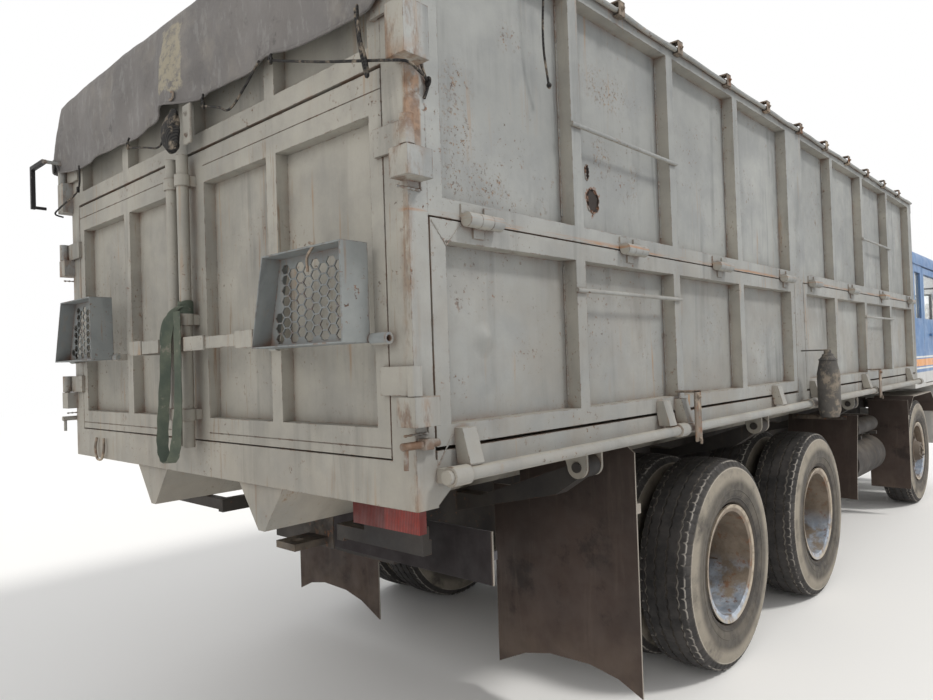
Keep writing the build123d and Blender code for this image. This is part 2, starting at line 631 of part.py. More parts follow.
def step_tray(y_wide_inner, y_wide_outer, y_top_inner, y_top_outer):
    """A shallow tray of flat bar with a floor of expanded mesh, standing on its lower edge."""
    z0 = STEP_PIVOT_Z - 10
    z1 = z0 + STEP_HEIGHT
    x_front = -STEP_DEPTH - 40
    x_back = -40
    outer = prism_x([(-y_wide_outer, z0), (-y_wide_inner, z0), (-y_top_inner, z1), (-y_top_outer, z1)],
        x_front, x_back)
    wall = STEP_WALL
    inner = prism_x(
        [(-y_wide_outer + wall, z0 + wall), (-y_wide_inner - wall, z0 + wall),
        (-y_top_inner - wall, z1 - wall),
         (-y_top_outer + wall, z1 - wall)], x_front - 1, x_back + 1,
    )
    mesh = prism_x([(-y_wide_outer, z0), (-y_wide_inner, z0), (-y_top_inner, z1), (-y_top_outer, z1)],
        x_back - 30, x_back - 26)
    holes = []
    row = 0
    z = z0 + MESH_CELL_HEIGHT
    while z < z1 - MESH_CELL_HEIGHT * 0.8:
        share = (z - z0) / (z1 - z0)
        low_y = y_wide_inner + (y_top_inner - y_wide_inner) * share
        high_y = y_wide_outer + (y_top_outer - y_wide_outer) * share
        y = y_wide_inner + MESH_PITCH_Y * (0.8 + (row % 2) / 2)
        while y < high_y - MESH_CELL_WIDTH * 0.65:
            if y > low_y + MESH_CELL_WIDTH * 0.65:
                holes.append(mesh_cell(x_back - 34, x_back - 22, y, z))
            y += MESH_PITCH_Y
        z += MESH_PITCH_Z
        row += 1
    plate = mesh.cut(*holes)
    pivot = rod_y(-y_wide_outer - 26, -y_wide_inner + 43, STEP_PIVOT_X, STEP_PIVOT_Z, STEP_PIVOT_RADIUS)
    cheeks = block(x_back, STEP_PIVOT_X, -y_wide_outer, -y_wide_outer + wall, STEP_PIVOT_Z - 9,
        STEP_PIVOT_Z + 9)
    cheeks2 = block(x_back, STEP_PIVOT_X, -y_wide_inner - wall, -y_wide_inner, STEP_PIVOT_Z - 9,
        STEP_PIVOT_Z + 9)
    return fused([outer - inner, plate, pivot, cheeks, cheeks2])


# Each handle ends short of the step on its door
RIGHT_HANDLE_REACH = STEP_INNER_Y - 60
LEFT_HANDLE_REACH = STEP_INNER_Y - 270
right_door = rear_door(RIGHT_HANDLE_REACH)
left_door = to_left(rear_door(LEFT_HANDLE_REACH))
node("rear_door_right", right_door)
node("rear_door_left", left_door)
right_step = step_tray(STEP_INNER_Y, STEP_OUTER_Y, STEP_INNER_Y + STEP_TAPER, STEP_OUTER_Y)
node("step_right", right_step)
left_step = to_left(step_tray(STEP_INNER_Y, STEP_OUTER_Y, STEP_INNER_Y + 10, STEP_OUTER_Y - 90))
node("step_left", left_step)

# Webbing strap knotted round the right door's locking tube, its loop hanging down behind it
STRAP_Y = 84
STRAP_WIDTH = 42
STRAP_THICKNESS = 5
STRAP_BOTTOM = SILL_BOTTOM + 66
STRAP_TOP = HANDLE_Z + 180
STRAP_REACH = 14
STRAP_X = LOCK_ROD_X - 60
KNOT_HEIGHT = 40
KNOT_RADIUS = LOCK_ROD_RADIUS + 7


def strap_slot(reach):
    """A tall slot shape: straight sides and round ends, across the strap's width."""
    y0, y1 = -STRAP_Y - STRAP_WIDTH / 2, -STRAP_Y + STRAP_WIDTH / 2
    low, high = STRAP_BOTTOM + STRAP_REACH, STRAP_TOP - STRAP_REACH
    ends = [rod_y(y0, y1, STRAP_X, z, reach) for z in (low, high)]
    return fused([block(STRAP_X - reach, STRAP_X + reach, y0, y1, low, high)] + ends)


knot_low = COLLAR_Z[1] + 22 + SEAT_GAP
knot = rod_z(knot_low, knot_low + KNOT_HEIGHT, LOCK_ROD_X, -LOCK_ROD_Y, KNOT_RADIUS) + block(
    STRAP_X + STRAP_REACH, LOCK_ROD_X - 18, -STRAP_Y - 10, -LOCK_ROD_Y, knot_low, knot_low + KNOT_HEIGHT)
strap = (strap_slot(STRAP_REACH + STRAP_THICKNESS) - strap_slot(STRAP_REACH)) + knot
strap = strap - rod_z(STRAP_BOTTOM, STRAP_TOP + 50, LOCK_ROD_X, -LOCK_ROD_Y, LOCK_ROD_RADIUS + SEAT_GAP)
node("door_strap", strap)

# Upper rear doors, tied shut under the end of the cover sheet
upper_door = facing_rear(
    ribbed_panel(1, POST_INNER_Y - SEAT_GAP, UPPER_DOOR_BOTTOM, SIDE_TOP, DOOR_DEPTH, (62, 50),
    (60, DOOR_STILE),
                 [DOOR_RIB_Y - RIB_WIDTH / 2], RIB_WIDTH)
)
upper_strap = door_strap(UPPER_STRAP_Z, SEAT_GAP)
node("upper_rear_doors", *both_sides(upper_door + upper_strap))

# Latch shafts along the sides, in sleeves under the side rails
SLEEVE_X = [POST_LENGTH + 2] + [along(x) for x in (1425, 3120, 4600, 6200)]


def latch_shaft():
    shaft = rod_x(SLEEVE_X[0] - 15, SLEEVE_X[-1] + 100, -LATCH_SHAFT_Y, LATCH_SHAFT_Z, LATCH_SHAFT_RADIUS)
    pieces = [shaft]
    for x in SLEEVE_X:
        pieces.append(rod_x(x, x + 70, -LATCH_SHAFT_Y, LATCH_SHAFT_Z, SLEEVE_RADIUS))
        pieces.append(block(x, x + 70, -LATCH_SHAFT_Y, -BODY_HALF_WIDTH, LATCH_SHAFT_Z - 20,
            LATCH_SHAFT_Z + 20))
    return fused(pieces)


right_shaft = latch_shaft()
node("latch_shafts", *both_sides(right_shaft))

# Cover sheet: low arch over the top, a tail down the rear and a lap over the left edge
COVER_CROWN = 60
COVER_THICKNESS = 12
COVER_BACK = -32
ARCH_STEPS = 12
cover_base = SIDE_TOP + SEAT_GAP
arch_points = []
for i in range(ARCH_STEPS + 1):
    y = -BODY_HALF_WIDTH + 2 * BODY_HALF_WIDTH * i / ARCH_STEPS
    arch_points.append((y, cover_base + COVER_THICKNESS + COVER_CROWN * (1 - (y / BODY_HALF_WIDTH) ** 2)))
cover_outline = arch_points + [(y, z - COVER_THICKNESS) for y, z in reversed(arch_points)]
cover = prism_x(cover_outline, COVER_BACK + COVER_THICKNESS, BODY_LENGTH)

# The tail's lower edge: places across, as shares of the body's half width, and drops below its top
TAIL_DROPS = [
    (0.992, 345), (0.96, 342), (0.816, 361), (0.48, 357), (0.152, 350), (0.04, 327), (-0.136, 359), (-0.52, 351),
    (-0.688, 367), (-0.92, 375),
]
TAIL_RIGHT_EDGE = 0.92
LAP_LENGTH = 630
LAP_REACH = 150
LAP_DROP = 267
tail_foot = [(share * BODY_HALF_WIDTH, SIDE_TOP - drop) for share, drop in TAIL_DROPS]
tail_head = [
    (-TAIL_RIGHT_EDGE * BODY_HALF_WIDTH, cover_base + COVER_THICKNESS),
    (BODY_HALF_WIDTH - 10, cover_base + COVER_THICKNESS),
]
tail = prism_x(tail_foot + tail_head, COVER_BACK, COVER_BACK + COVER_THICKNESS)
lap_outline = [
    (BODY_HALF_WIDTH - 10, cover_base), (BODY_HALF_WIDTH + 10, cover_base),
    (BODY_HALF_WIDTH + LAP_REACH - 12, SIDE_TOP - LAP_DROP),
    (BODY_HALF_WIDTH + LAP_REACH, SIDE_TOP - LAP_DROP), (BODY_HALF_WIDTH + 22, cover_base + COVER_THICKNESS),
    (BODY_HALF_WIDTH - 10, cover_base + COVER_THICKNESS),
]
lap = prism_x(lap_outline, COVER_BACK, LAP_LENGTH)
end_web = prism_x(
    arch_points + [(BODY_HALF_WIDTH, cover_base), (-BODY_HALF_WIDTH, cover_base)],
    COVER_BACK + COVER_THICKNESS, COVER_BACK + 2 * COVER_THICKNESS,
)
node("cover_sheet", fused([cover, tail, lap, end_web]))

# Wash can hanging on the centre post
CAN_X = CENTRE_POST_X + CENTRE_POST_LENGTH / 2
CAN_RADIUS = 62
can_y = -LATCH_SHAFT_Y - SLEEVE_RADIUS - MOVING_GAP - CAN_RADIUS
can_profile = [(0, -190), (CAN_RADIUS - 14, -190), (CAN_RADIUS - 2, -150), (CAN_RADIUS, 60), (44, 150),
    (20, 178), (20, 200), (0, 200)]
can_wire = Polyline(*[(radius, 0, along) for radius, along in can_profile], close=True)
CAN_Z = SIDE_RAIL_BOTTOM + 141
can_top = CAN_Z + 200
can = Pos(CAN_X, can_y, CAN_Z) * revolve(make_face(can_wire), axis=Axis.Z)
can_hook = rod_y(can_y - 4, -BODY_HALF_WIDTH, CAN_X, can_top, 4) + rod_z(can_top - 10, can_top + 4, CAN_X,
    can_y, 4)
node("wash_can", can + can_hook)


# Wheels
def tyre(x, y):
    half = TYRE_WIDTH / 2
    profile = [
        (RIM_SEAT_RADIUS, -half + 42), (RIM_RADIUS + 3, -half + 33), (RIM_RADIUS + 14, -half + 16),
        (RIM_RADIUS + 78, -half + 2), (RIM_RADIUS + 118, -half),
        (TYRE_RADIUS - 45, -half + 8), (TYRE_RADIUS - 12, -half + 22), (TYRE_RADIUS, -half + 50),
    ]
    profile += [(radius, -along) for radius, along in reversed(profile)]
    return turned_profile(profile, x, y, AXLE_Z)


RIM_WALL = 9
RIM_WIDTH = 200
DISC_WALL = 16
HUB_RADIUS = 120


def rim_barrel(x, y):
    """Open barrel of a rim with its two lips."""
    half = RIM_WIDTH / 2
    seat = RIM_SEAT_RADIUS - SEAT_GAP
    profile = [
        (seat, -half), (RIM_RADIUS, -half - 10), (RIM_RADIUS, -half - 22), (seat - RIM_WALL, -half - 12),
        (seat - RIM_WALL, half + 12), (RIM_RADIUS, half + 22), (RIM_RADIUS, half + 10), (seat, half),
    ]
    return turned_profile(profile, x, y, AXLE_Z)


def disc(x, y, inner_radius):
    """Flat ring between hub and barrel."""
    seat = RIM_SEAT_RADIUS - SEAT_GAP
    profile = [(inner_radius, -DISC_WALL / 2), (seat - 4, -DISC_WALL / 2), (seat - 4, DISC_WALL / 2),
        (inner_radius, DISC_WALL / 2)]
    return turned_profile(profile, x, y, AXLE_Z)


def hub(x, y0, y1, bore):
    """Hub barrel; y0 is its outer end, which narrows."""
    profile = [(bore, y0), (HUB_RADIUS - 38, y0), (HUB_RADIUS - 20, y0 + 46), (HUB_RADIUS, y0 + 50),
        (HUB_RADIUS, y1), (bore, y1)]
    return turned_profile(profile, x, 0, AXLE_Z)


HAND_HOLES = 10
HAND_HOLE_RADIUS = 24
HAND_HOLE_CIRCLE = 190


def hand_holes(x, y0, y1):
    """Cutters for the round holes in a wheel's disc."""
    cutters = []
    for i in range(HAND_HOLES):
        place = Rot(0, 360 * i / HAND_HOLES, 0) * Pos(HAND_HOLE_CIRCLE, 0, 0)
        cutters.append(Pos(x, 0, AXLE_Z) * place * rod_y(y0, y1, 0, 0, HAND_HOLE_RADIUS))
    return cutters


def dual_wheel(x, side):
    """Tyres and rims of a twin wheel; side is -1 for right and 1 for left."""
    y_outer, y_inner = -DUAL_OUTER_Y, -DUAL_INNER_Y
    y_disc = -(DUAL_OUTER_Y + DUAL_INNER_Y) / 2 + 10
    rims = fused([
        rim_barrel(x, y_outer), rim_barrel(x, y_inner), disc(x, y_disc - 30, HUB_RADIUS - 10),
        disc(x, y_disc + 30, HUB_RADIUS - 10),
        hub(x, y_disc - 130, -DUAL_INNER_Y + 60, SPINDLE_RADIUS + RUNNING_CLEARANCE),
    ])
    rims = rims.cut(*hand_holes(x, y_disc - 60, y_disc + 60))
    ring = turned_profile(
        [(RIM_RADIUS - 38, -60), (RIM_RADIUS - 30, -60), (RIM_RADIUS - 30, 60), (RIM_RADIUS - 38, 60)], x,
        -(DUAL_OUTER_Y + DUAL_INNER_Y) / 2, AXLE_Z,
    )
    solids = [tyre(x, y_outer), tyre(x, y_inner)], [rims + ring]
    if side > 0:
        solids = [to_left(s) for s in solids[0]], [to_left(s) for s in solids[1]]
    return solids


for axle_name, axle_x in (("rear", REAR_AXLE_X), ("mid", MID_AXLE_X)):
    for side_name, side in (("right", -1), ("left", 1)):
        tyres, rims = dual_wheel(axle_x, side)
        node(f"tyres_{axle_name}_{side_name}", *tyres)
        node(f"rims_{axle_name}_{side_name}", *rims)

front_rim = fused([
    rim_barrel(FRONT_AXLE_X, -FRONT_WHEEL_Y), disc(FRONT_AXLE_X, -FRONT_WHEEL_Y - 50, HUB_RADIUS - 10),
    hub(FRONT_AXLE_X, -FRONT_OUTER_FACE - 8, -KINGPIN_Y - KNUCKLE_REACH - MOVING_GAP,
    SPINDLE_RADIUS + RUNNING_CLEARANCE),
])
front_rim = front_rim.cut(*hand_holes(FRONT_AXLE_X, -FRONT_WHEEL_Y - 70, -FRONT_WHEEL_Y - 30))
node("tyre_front_right", tyre(FRONT_AXLE_X, -FRONT_WHEEL_Y))
node("tyre_front_left", to_left(tyre(FRONT_AXLE_X, -FRONT_WHEEL_Y)))
node("rim_front_right", front_rim)
node("rim_front_left", to_left(front_rim))


# Axles: front beam with kingpin eyes, two drive axles with their casings and the propeller shaft
def drive_axle(x):
    reach = DUAL_INNER_Y - 60 - MOVING_GAP
    tube = rod_y(-reach, reach, x, AXLE_Z, AXLE_TUBE_RADIUS)
    casing = Pos(x, 0, AXLE_Z) * Sphere(190)
    spindle_end = (DUAL_OUTER_Y + DUAL_INNER_Y) / 2 + 90
    spindle = rod_y(-spindle_end, spindle_end, x, AXLE_Z, SPINDLE_RADIUS)
    return fused([tube, casing, spindle])


BEAM_HALF = 60
KINGPIN_HALF_HEIGHT = 85
front_beam = block(FRONT_AXLE_X - 50, FRONT_AXLE_X + 50, -KINGPIN_Y + 60, KINGPIN_Y - 60,
    AXLE_Z - BEAM_HALF, AXLE_Z + BEAM_HALF - 20)
kingpin_eye = rod_z(AXLE_Z - BEAM_HALF, AXLE_Z + BEAM_HALF - 20, FRONT_AXLE_X, -KINGPIN_Y, 62)
kingpin = rod_z(AXLE_Z - KINGPIN_HALF_HEIGHT - 35, AXLE_Z + KINGPIN_HALF_HEIGHT + 15, FRONT_AXLE_X,
    -KINGPIN_Y, KINGPIN_RADIUS)
front_axle = fused([front_beam, kingpin_eye, to_left(kingpin_eye), kingpin, to_left(kingpin)])
PROP_SHAFT_RADIUS = 45
GEARBOX_REAR_X = FRONT_AXLE_X - 1220
prop_shaft = rod_x(MID_AXLE_X + 150, GEARBOX_REAR_X, 0, AXLE_Z, PROP_SHAFT_RADIUS)
link_shaft = rod_x(REAR_AXLE_X + 150, MID_AXLE_X - 150, 0, AXLE_Z, PROP_SHAFT_RADIUS)
node("axles", front_axle, fused([drive_axle(REAR_AXLE_X), link_shaft, drive_axle(MID_AXLE_X), prop_shaft]))


# Knuckles: a fork round the beam's eye and the stub axle
def knuckle():
    bore = KINGPIN_RADIUS + RUNNING_CLEARANCE
    beam_low, beam_high = AXLE_Z - BEAM_HALF, AXLE_Z + BEAM_HALF - 20
    fork_y0 = -KINGPIN_Y - KNUCKLE_REACH
    upper = block(FRONT_AXLE_X - 50, FRONT_AXLE_X + 50, fork_y0, -KINGPIN_Y + 45, beam_high + 4,
        beam_high + 49)
    lower = block(FRONT_AXLE_X - 50, FRONT_AXLE_X + 50, fork_y0, -KINGPIN_Y + 45, beam_low - 49, beam_low - 4)
    back = block(FRONT_AXLE_X - 50, FRONT_AXLE_X + 50, fork_y0, fork_y0 + 28, beam_low - 49, beam_high + 49)
    stub = rod_y(-FRONT_OUTER_FACE + 60, fork_y0 + 5, FRONT_AXLE_X, AXLE_Z, SPINDLE_RADIUS)
    arm = block(FRONT_AXLE_X - 230, FRONT_AXLE_X - 40, -KINGPIN_Y + 5, -KINGPIN_Y + 40, beam_low - 40,
        beam_low - 12)
    hole = rod_z(AXLE_Z - 300, AXLE_Z + 300, FRONT_AXLE_X, -KINGPIN_Y, bore)
    return fused([upper, lower, back, stub, arm]) - hole


right_knuckle = knuckle()
node("knuckle_right", right_knuckle)
node("knuckle_left", to_left(right_knuckle))


# Leaf springs, front and rear
def leaf_pack(x_mid, y, half_length, z_top, leaves, leaf_wall, width):
    """Stacked leaves, each shorter than the one above it."""
    pieces = []
    for i in range(leaves):
        reach = half_length * (1 - i / (leaves + 1))
        z1 = z_top - i * leaf_wall
        pieces.append(block(x_mid - reach, x_mid + reach, y - width / 2, y + width / 2, z1 - leaf_wall, z1))
    return pieces


FRONT_SPRING_Y = FRAME_HALF_WIDTH - 38
BOGIE_SPRING_Y = FRAME_HALF_WIDTH + 87


def front_spring():
    z_top = FRAME_BOTTOM - 60
    seat_z = AXLE_Z + BEAM_HALF - 20
    pack = leaf_pack(FRONT_AXLE_X, -FRONT_SPRING_Y, 700, z_top, 6, 14, 70)
    pad = block(FRONT_AXLE_X - 60, FRONT_AXLE_X + 60, -FRONT_SPRING_Y - 40, -FRONT_SPRING_Y + 40, seat_z,
        z_top - 6 * 14 + 1)
    hangers = [
        block(FRONT_AXLE_X + s * 670 - 20, FRONT_AXLE_X + s * 670 + 20, -FRONT_SPRING_Y - 30,
        -FRONT_SPRING_Y + 30, z_top - 5, FRAME_BOTTOM)
        for s in (-1, 1)
    ]
    return fused(pack + [pad] + hangers)


def bogie_spring():
    z_top = AXLE_Z + AXLE_TUBE_RADIUS + 120
    pack = leaf_pack(BOGIE_X, -BOGIE_SPRING_Y, BOGIE_SPACING / 2 + 40, z_top, 6, 16, 90)
    seats = [
        block(x - 50, x + 50, -BOGIE_SPRING_Y - 45, -BOGIE_SPRING_Y + 45, AXLE_Z + 50, z_top - 15)
        - rod_y(-BOGIE_SPRING_Y - 50, -BOGIE_SPRING_Y + 50, x, AXLE_Z, AXLE_TUBE_RADIUS + SEAT_GAP)
        for x in (REAR_AXLE_X, MID_AXLE_X)
    ]
    trunnion = block(BOGIE_X - 90, BOGIE_X + 90, -BOGIE_SPRING_Y - 45, -FRAME_HALF_WIDTH,
        FRAME_BOTTOM + 10, FRAME_BOTTOM + 150)
    link = block(BOGIE_X - 60, BOGIE_X + 60, -BOGIE_SPRING_Y - 45, -BOGIE_SPRING_Y + 45, z_top - 20,
        FRAME_BOTTOM + 20)
    return fused(pack + seats + [trunnion, link])


node("springs", *both_sides(front_spring()), *both_sides(bogie_spring()))


# Ladder frame with the arms that carry the tipping pins
def frame_rail():
    outer = block(FRAME_REAR_X, FRAME_FRONT_X, -FRAME_HALF_WIDTH, -FRAME_INNER_Y, FRAME_BOTTOM, FRAME_TOP)
    hollow = block(
        FRAME_REAR_X, FRAME_FRONT_X, -FRAME_HALF_WIDTH + FRAME_RAIL_WALL, -FRAME_INNER_Y,
        FRAME_BOTTOM + FRAME_RAIL_WALL, FRAME_TOP - FRAME_RAIL_WALL,
    )
    return outer - hollow


def tip_arm(x):
    """Arm from the frame out to a tipping pin, with the pin through its boss."""
    low = FRAME_TOP - TIP_ARM_ROOT
    plate = prism_x(
        [(-FRAME_HALF_WIDTH, low), (-FRAME_HALF_WIDTH, FRAME_TOP - 12),
        (-BEAM_Y - BEAM_HALF_WIDTH, FRAME_TOP - 12),
         (-TIP_AXIS_Y, TIP_AXIS_Z + 20), (-TIP_AXIS_Y, TIP_AXIS_Z - 40),
         (-TIP_AXIS_Y + 120, TIP_AXIS_Z - 120)],
        x - TIP_ARM_WIDTH / 2, x + TIP_ARM_WIDTH / 2,
    )
    boss = rod_x(x - TIP_ARM_WIDTH / 2, x + TIP_ARM_WIDTH / 2, -TIP_AXIS_Y, TIP_AXIS_Z, TIP_BOSS_RADIUS)
    reach = lug_inner + TIP_LUG_WALL + 8
    pin = rod_x(x - reach, x + reach, -TIP_AXIS_Y, TIP_AXIS_Z, TIP_PIN_RADIUS)
    return [plate, boss, pin]


def tip_rest(x):
    """The left arm ends in a cradle below the lugs, which lift off as the body tips."""
    low = FRAME_TOP - TIP_ARM_ROOT
    top = TIP_AXIS_Z - TIP_BOSS_RADIUS - MOVING_GAP
    plate = prism_x(
        [(FRAME_HALF_WIDTH, low), (FRAME_HALF_WIDTH, FRAME_TOP - 12),
        (BEAM_Y + BEAM_HALF_WIDTH, FRAME_TOP - 12),
         (TIP_AXIS_Y - 60, top), (TIP_AXIS_Y + 50, top), (TIP_AXIS_Y + 50, top - 40),
         (TIP_AXIS_Y - 120, top - 80)],
        x - TIP_ARM_WIDTH / 2 - 20, x + TIP_ARM_WIDTH / 2 + 20,
    )
    return [plate]


CROSS_TUBE_X = [along(1180), BOGIE_X - 60, RAM_X - 230, RAM_X + 110, FRONT_AXLE_X - 1570, FRAME_FRONT_X - 120]
frame_pieces = [frame_rail(), to_left(frame_rail())]
frame_pieces += [
    block(x, x + 120, -FRAME_HALF_WIDTH + FRAME_RAIL_WALL, FRAME_HALF_WIDTH - FRAME_RAIL_WALL,
    FRAME_BOTTOM + 30, FRAME_TOP - 30)
    for x in CROSS_TUBE_X
]
frame_pieces.append(
    block(FRAME_REAR_X, FRAME_REAR_X + 60, -FRAME_HALF_WIDTH + FRAME_RAIL_WALL,
    FRAME_HALF_WIDTH - FRAME_RAIL_WALL,
          FRAME_BOTTOM, FRAME_TOP)
)
for x in SUPPORT_X:
    frame_pieces += tip_arm(x) + tip_rest(x)

# Cheeks that hold the tipping ram's trunnions, against the two cross-members round it
TRUNNION_RADIUS = 22
CHEEK_WALL = 18
cheek_inner = RAM_RADIUS + 10
frame_pieces += [
    block(RAM_X - cheek_inner - CHEEK_WALL, RAM_X - cheek_inner, -60, 60, RAM_PIVOT_Z - 50,
    FRAME_BOTTOM + 60),
    block(RAM_X + cheek_inner, RAM_X + cheek_inner + CHEEK_WALL, -60, 60, RAM_PIVOT_Z - 50,
    FRAME_BOTTOM + 60),
]

# Pivot brackets of the cab at the front ends of the rails
pivot_bracket = fused([
    block(CAB_PIVOT_X - 190, CAB_PIVOT_X, -CAB_PIVOT_Y + 20, -FRAME_HALF_WIDTH, CAB_PIVOT_Z - 60,
    CAB_PIVOT_Z + 30),
    rod_y(-CAB_PIVOT_Y + 20, -FRAME_HALF_WIDTH, CAB_PIVOT_X, CAB_PIVOT_Z, 38),
    rod_y(-CAB_PIVOT_Y - 32, -CAB_PIVOT_Y + 22, CAB_PIVOT_X, CAB_PIVOT_Z, 18),
])
frame_pieces += [pivot_bracket, to_left(pivot_bracket)]
# Arms back from the rails that carry the tail lamps below the body's beams
LAMP_X = 330
LAMP_INNER_Y = BODY_HALF_WIDTH - 674
LAMP_OUTER_Y = BODY_HALF_WIDTH - 324
LAMP_BOTTOM = FRAME_TOP + 16
LAMP_TOP = FRAME_TOP + 82
LAMP_ARM_TOP = FRAME_TOP - 30
tail_bracket = fused([
    block(LAMP_X + 10, FRAME_REAR_X + 160, -FRAME_HALF_WIDTH - 40, -FRAME_HALF_WIDTH, LAMP_ARM_TOP - 60,
    LAMP_ARM_TOP),
    block(LAMP_X + 10, LAMP_X + 50, -LAMP_OUTER_Y + 20, -FRAME_HALF_WIDTH, LAMP_ARM_TOP - 50, LAMP_ARM_TOP),
    block(LAMP_X + 10, LAMP_X + 40, -LAMP_OUTER_Y + 20, -LAMP_INNER_Y - 20, LAMP_ARM_TOP - 10, LAMP_BOTTOM),
])
frame_pieces += both_sides(tail_bracket)

trunnion_bore = rod_x(RAM_X - 120, RAM_X + 120, 0, RAM_PIVOT_Z, TRUNNION_RADIUS + RUNNING_CLEARANCE)
node("frame", fused(frame_pieces) - trunnion_bore)

# Tow hitch: jaw on the rear cross-member, bored through both plates for a drawbar pin
HITCH_Z = FRAME_TOP - 130
HITCH_BORE_RADIUS = 25
HITCH_PIN_X = FRAME_REAR_X - 170
JAW_OPENING = 90
jaw = fused([
    block(FRAME_REAR_X - 60, FRAME_REAR_X, -110, 110, HITCH_Z - 90, HITCH_Z + 90),
    block(HITCH_PIN_X - 60, FRAME_REAR_X - 50, -70, 70, HITCH_Z + JAW_OPENING / 2,
    HITCH_Z + JAW_OPENING / 2 + 30),
    block(HITCH_PIN_X - 60, FRAME_REAR_X - 50, -70, 70, HITCH_Z - JAW_OPENING / 2 - 30,
    HITCH_Z - JAW_OPENING / 2),
])
node("tow_hitch", jaw - rod_z(HITCH_Z - 100, HITCH_Z + 100, HITCH_PIN_X, 0, HITCH_BORE_RADIUS))

# Engine and gearbox as one plain block
ENGINE_REAR_X = FRONT_AXLE_X - 520
ENGINE_FRONT_X = FRONT_AXLE_X + 850
ENGINE_HALF = FRAME_INNER_Y - 20
ENGINE_TOP = FRAME_TOP + 140
GEARBOX_HALF = FRAME_INNER_Y - 153
mount_low, mount_high = FRAME_BOTTOM + 70, FRAME_BOTTOM + 150
engine_mounts = [
    block(x0, x1, -FRAME_INNER_Y - 10, FRAME_INNER_Y + 10, mount_low, mount_high)
    for x0, x1 in ((ENGINE_REAR_X, ENGINE_REAR_X + 150), (ENGINE_FRONT_X - 320, ENGINE_FRONT_X - 220))
]
node("engine", fused([
    block(ENGINE_REAR_X, ENGINE_FRONT_X, -ENGINE_HALF, ENGINE_HALF, FRAME_BOTTOM - 60, ENGINE_TOP),
    block(GEARBOX_REAR_X + SEAT_GAP, ENGINE_REAR_X, -GEARBOX_HALF, GEARBOX_HALF, AXLE_Z - 60, FRAME_TOP - 80),
] + engine_mounts))


# Fuel tank on the left, grey tank and air tanks on the right
def capsule_x(x0, x1, y, z, radius):
    body = rod_x(x0 + 20, x1 - 20, y, z, radius)
    caps = rod_x(x0, x1, y, z, radius - 18)
    return body + caps


GREY_TANK_REAR_X = SUPPORT_X[2] + 360
GREY_TANK_FRONT_X = FRONT_AXLE_X - 950
GREY_TANK_Y = FRAME_HALF_WIDTH + 457
GREY_TANK_Z = FRAME_BOTTOM - 130
GREY_TANK_RADIUS = 165
AIR_TANK_Z = FRAME_BOTTOM + 150
AIR_TANK_RADIUS = 68
AIR_TANKS_Y = [FRAME_HALF_WIDTH + 207, FRAME_HALF_WIDTH + 367, FRAME_HALF_WIDTH + 527]
tank_arms = []
for x in (GREY_TANK_REAR_X + 150, GREY_TANK_FRONT_X - 170):
    tank_arms.append(block(x, x + 40, -GREY_TANK_Y - 10, -FRAME_HALF_WIDTH, FRAME_BOTTOM + 10,
        FRAME_BOTTOM + 60))
    tank_arms.append(block(x, x + 40, -GREY_TANK_Y + 150, -GREY_TANK_Y + 190, GREY_TANK_Z, FRAME_BOTTOM + 60))
grey_tank = fused([capsule_x(GREY_TANK_REAR_X, GREY_TANK_FRONT_X, -GREY_TANK_Y, GREY_TANK_Z,
    GREY_TANK_RADIUS)] + tank_arms)
air = [
    capsule_x(GREY_TANK_REAR_X + 140, GREY_TANK_FRONT_X - 120, -y, AIR_TANK_Z,
    AIR_TANK_RADIUS) for y in AIR_TANKS_Y
]
air_strap_y = AIR_TANKS_Y[-1] + AIR_TANK_RADIUS + 2
air_straps = [
    block(x, x + 30, -air_strap_y, -FRAME_HALF_WIDTH, FRAME_BOTTOM + 60, AIR_TANK_Z - AIR_TANK_RADIUS + 6)
    for x in (GREY_TANK_REAR_X + 200, GREY_TANK_FRONT_X - 220)
]
FUEL_REAR_X = SUPPORT_X[2] + 140
FUEL_FRONT_X = FRONT_AXLE_X - 1170
FUEL_INNER_Y = FRAME_HALF_WIDTH + 67
fuel_tank = fused([
    block(FUEL_REAR_X, FUEL_FRONT_X, FUEL_INNER_Y, BODY_HALF_WIDTH - 170, FRAME_BOTTOM - 300,
    FRAME_BOTTOM + 170),
] + [
    block(x, x + 50, FRAME_HALF_WIDTH, FUEL_INNER_Y + 20, FRAME_BOTTOM + 50, FRAME_BOTTOM + 150)
    for x in (FUEL_REAR_X + 80, FUEL_FRONT_X - 300)
])
node("tanks", fused([grey_tank] + air + air_straps), fuel_tank)

# Mudflaps behind the rear and front wheels, guards over the front wheels and the apron behind the frame's end
FLAP_WALL = 8
REAR_FLAP_X = REAR_AXLE_X - 890
FRONT_FLAP_X = FRONT_AXLE_X - 680
APRON_X = FRAME_REAR_X - 70
FLAP_OUTER_Y = BODY_HALF_WIDTH - 60
FRONT_FLAP_INNER_Y = BODY_HALF_WIDTH - 390
GUARD_CLEARANCE = 60


def hung_flap(x, outline_yz, arm_outer_y, arm_z):
    """A rubber flap cut to an outline, on an arm from the frame's side."""
    flap = prism_x([(-y, z) for y, z in outline_yz], x, x + FLAP_WALL)
    arm = block(x + FLAP_WALL, x + FLAP_WALL + 30, -arm_outer_y, -FRAME_HALF_WIDTH, arm_z - 20, arm_z + 20)
    return flap + arm


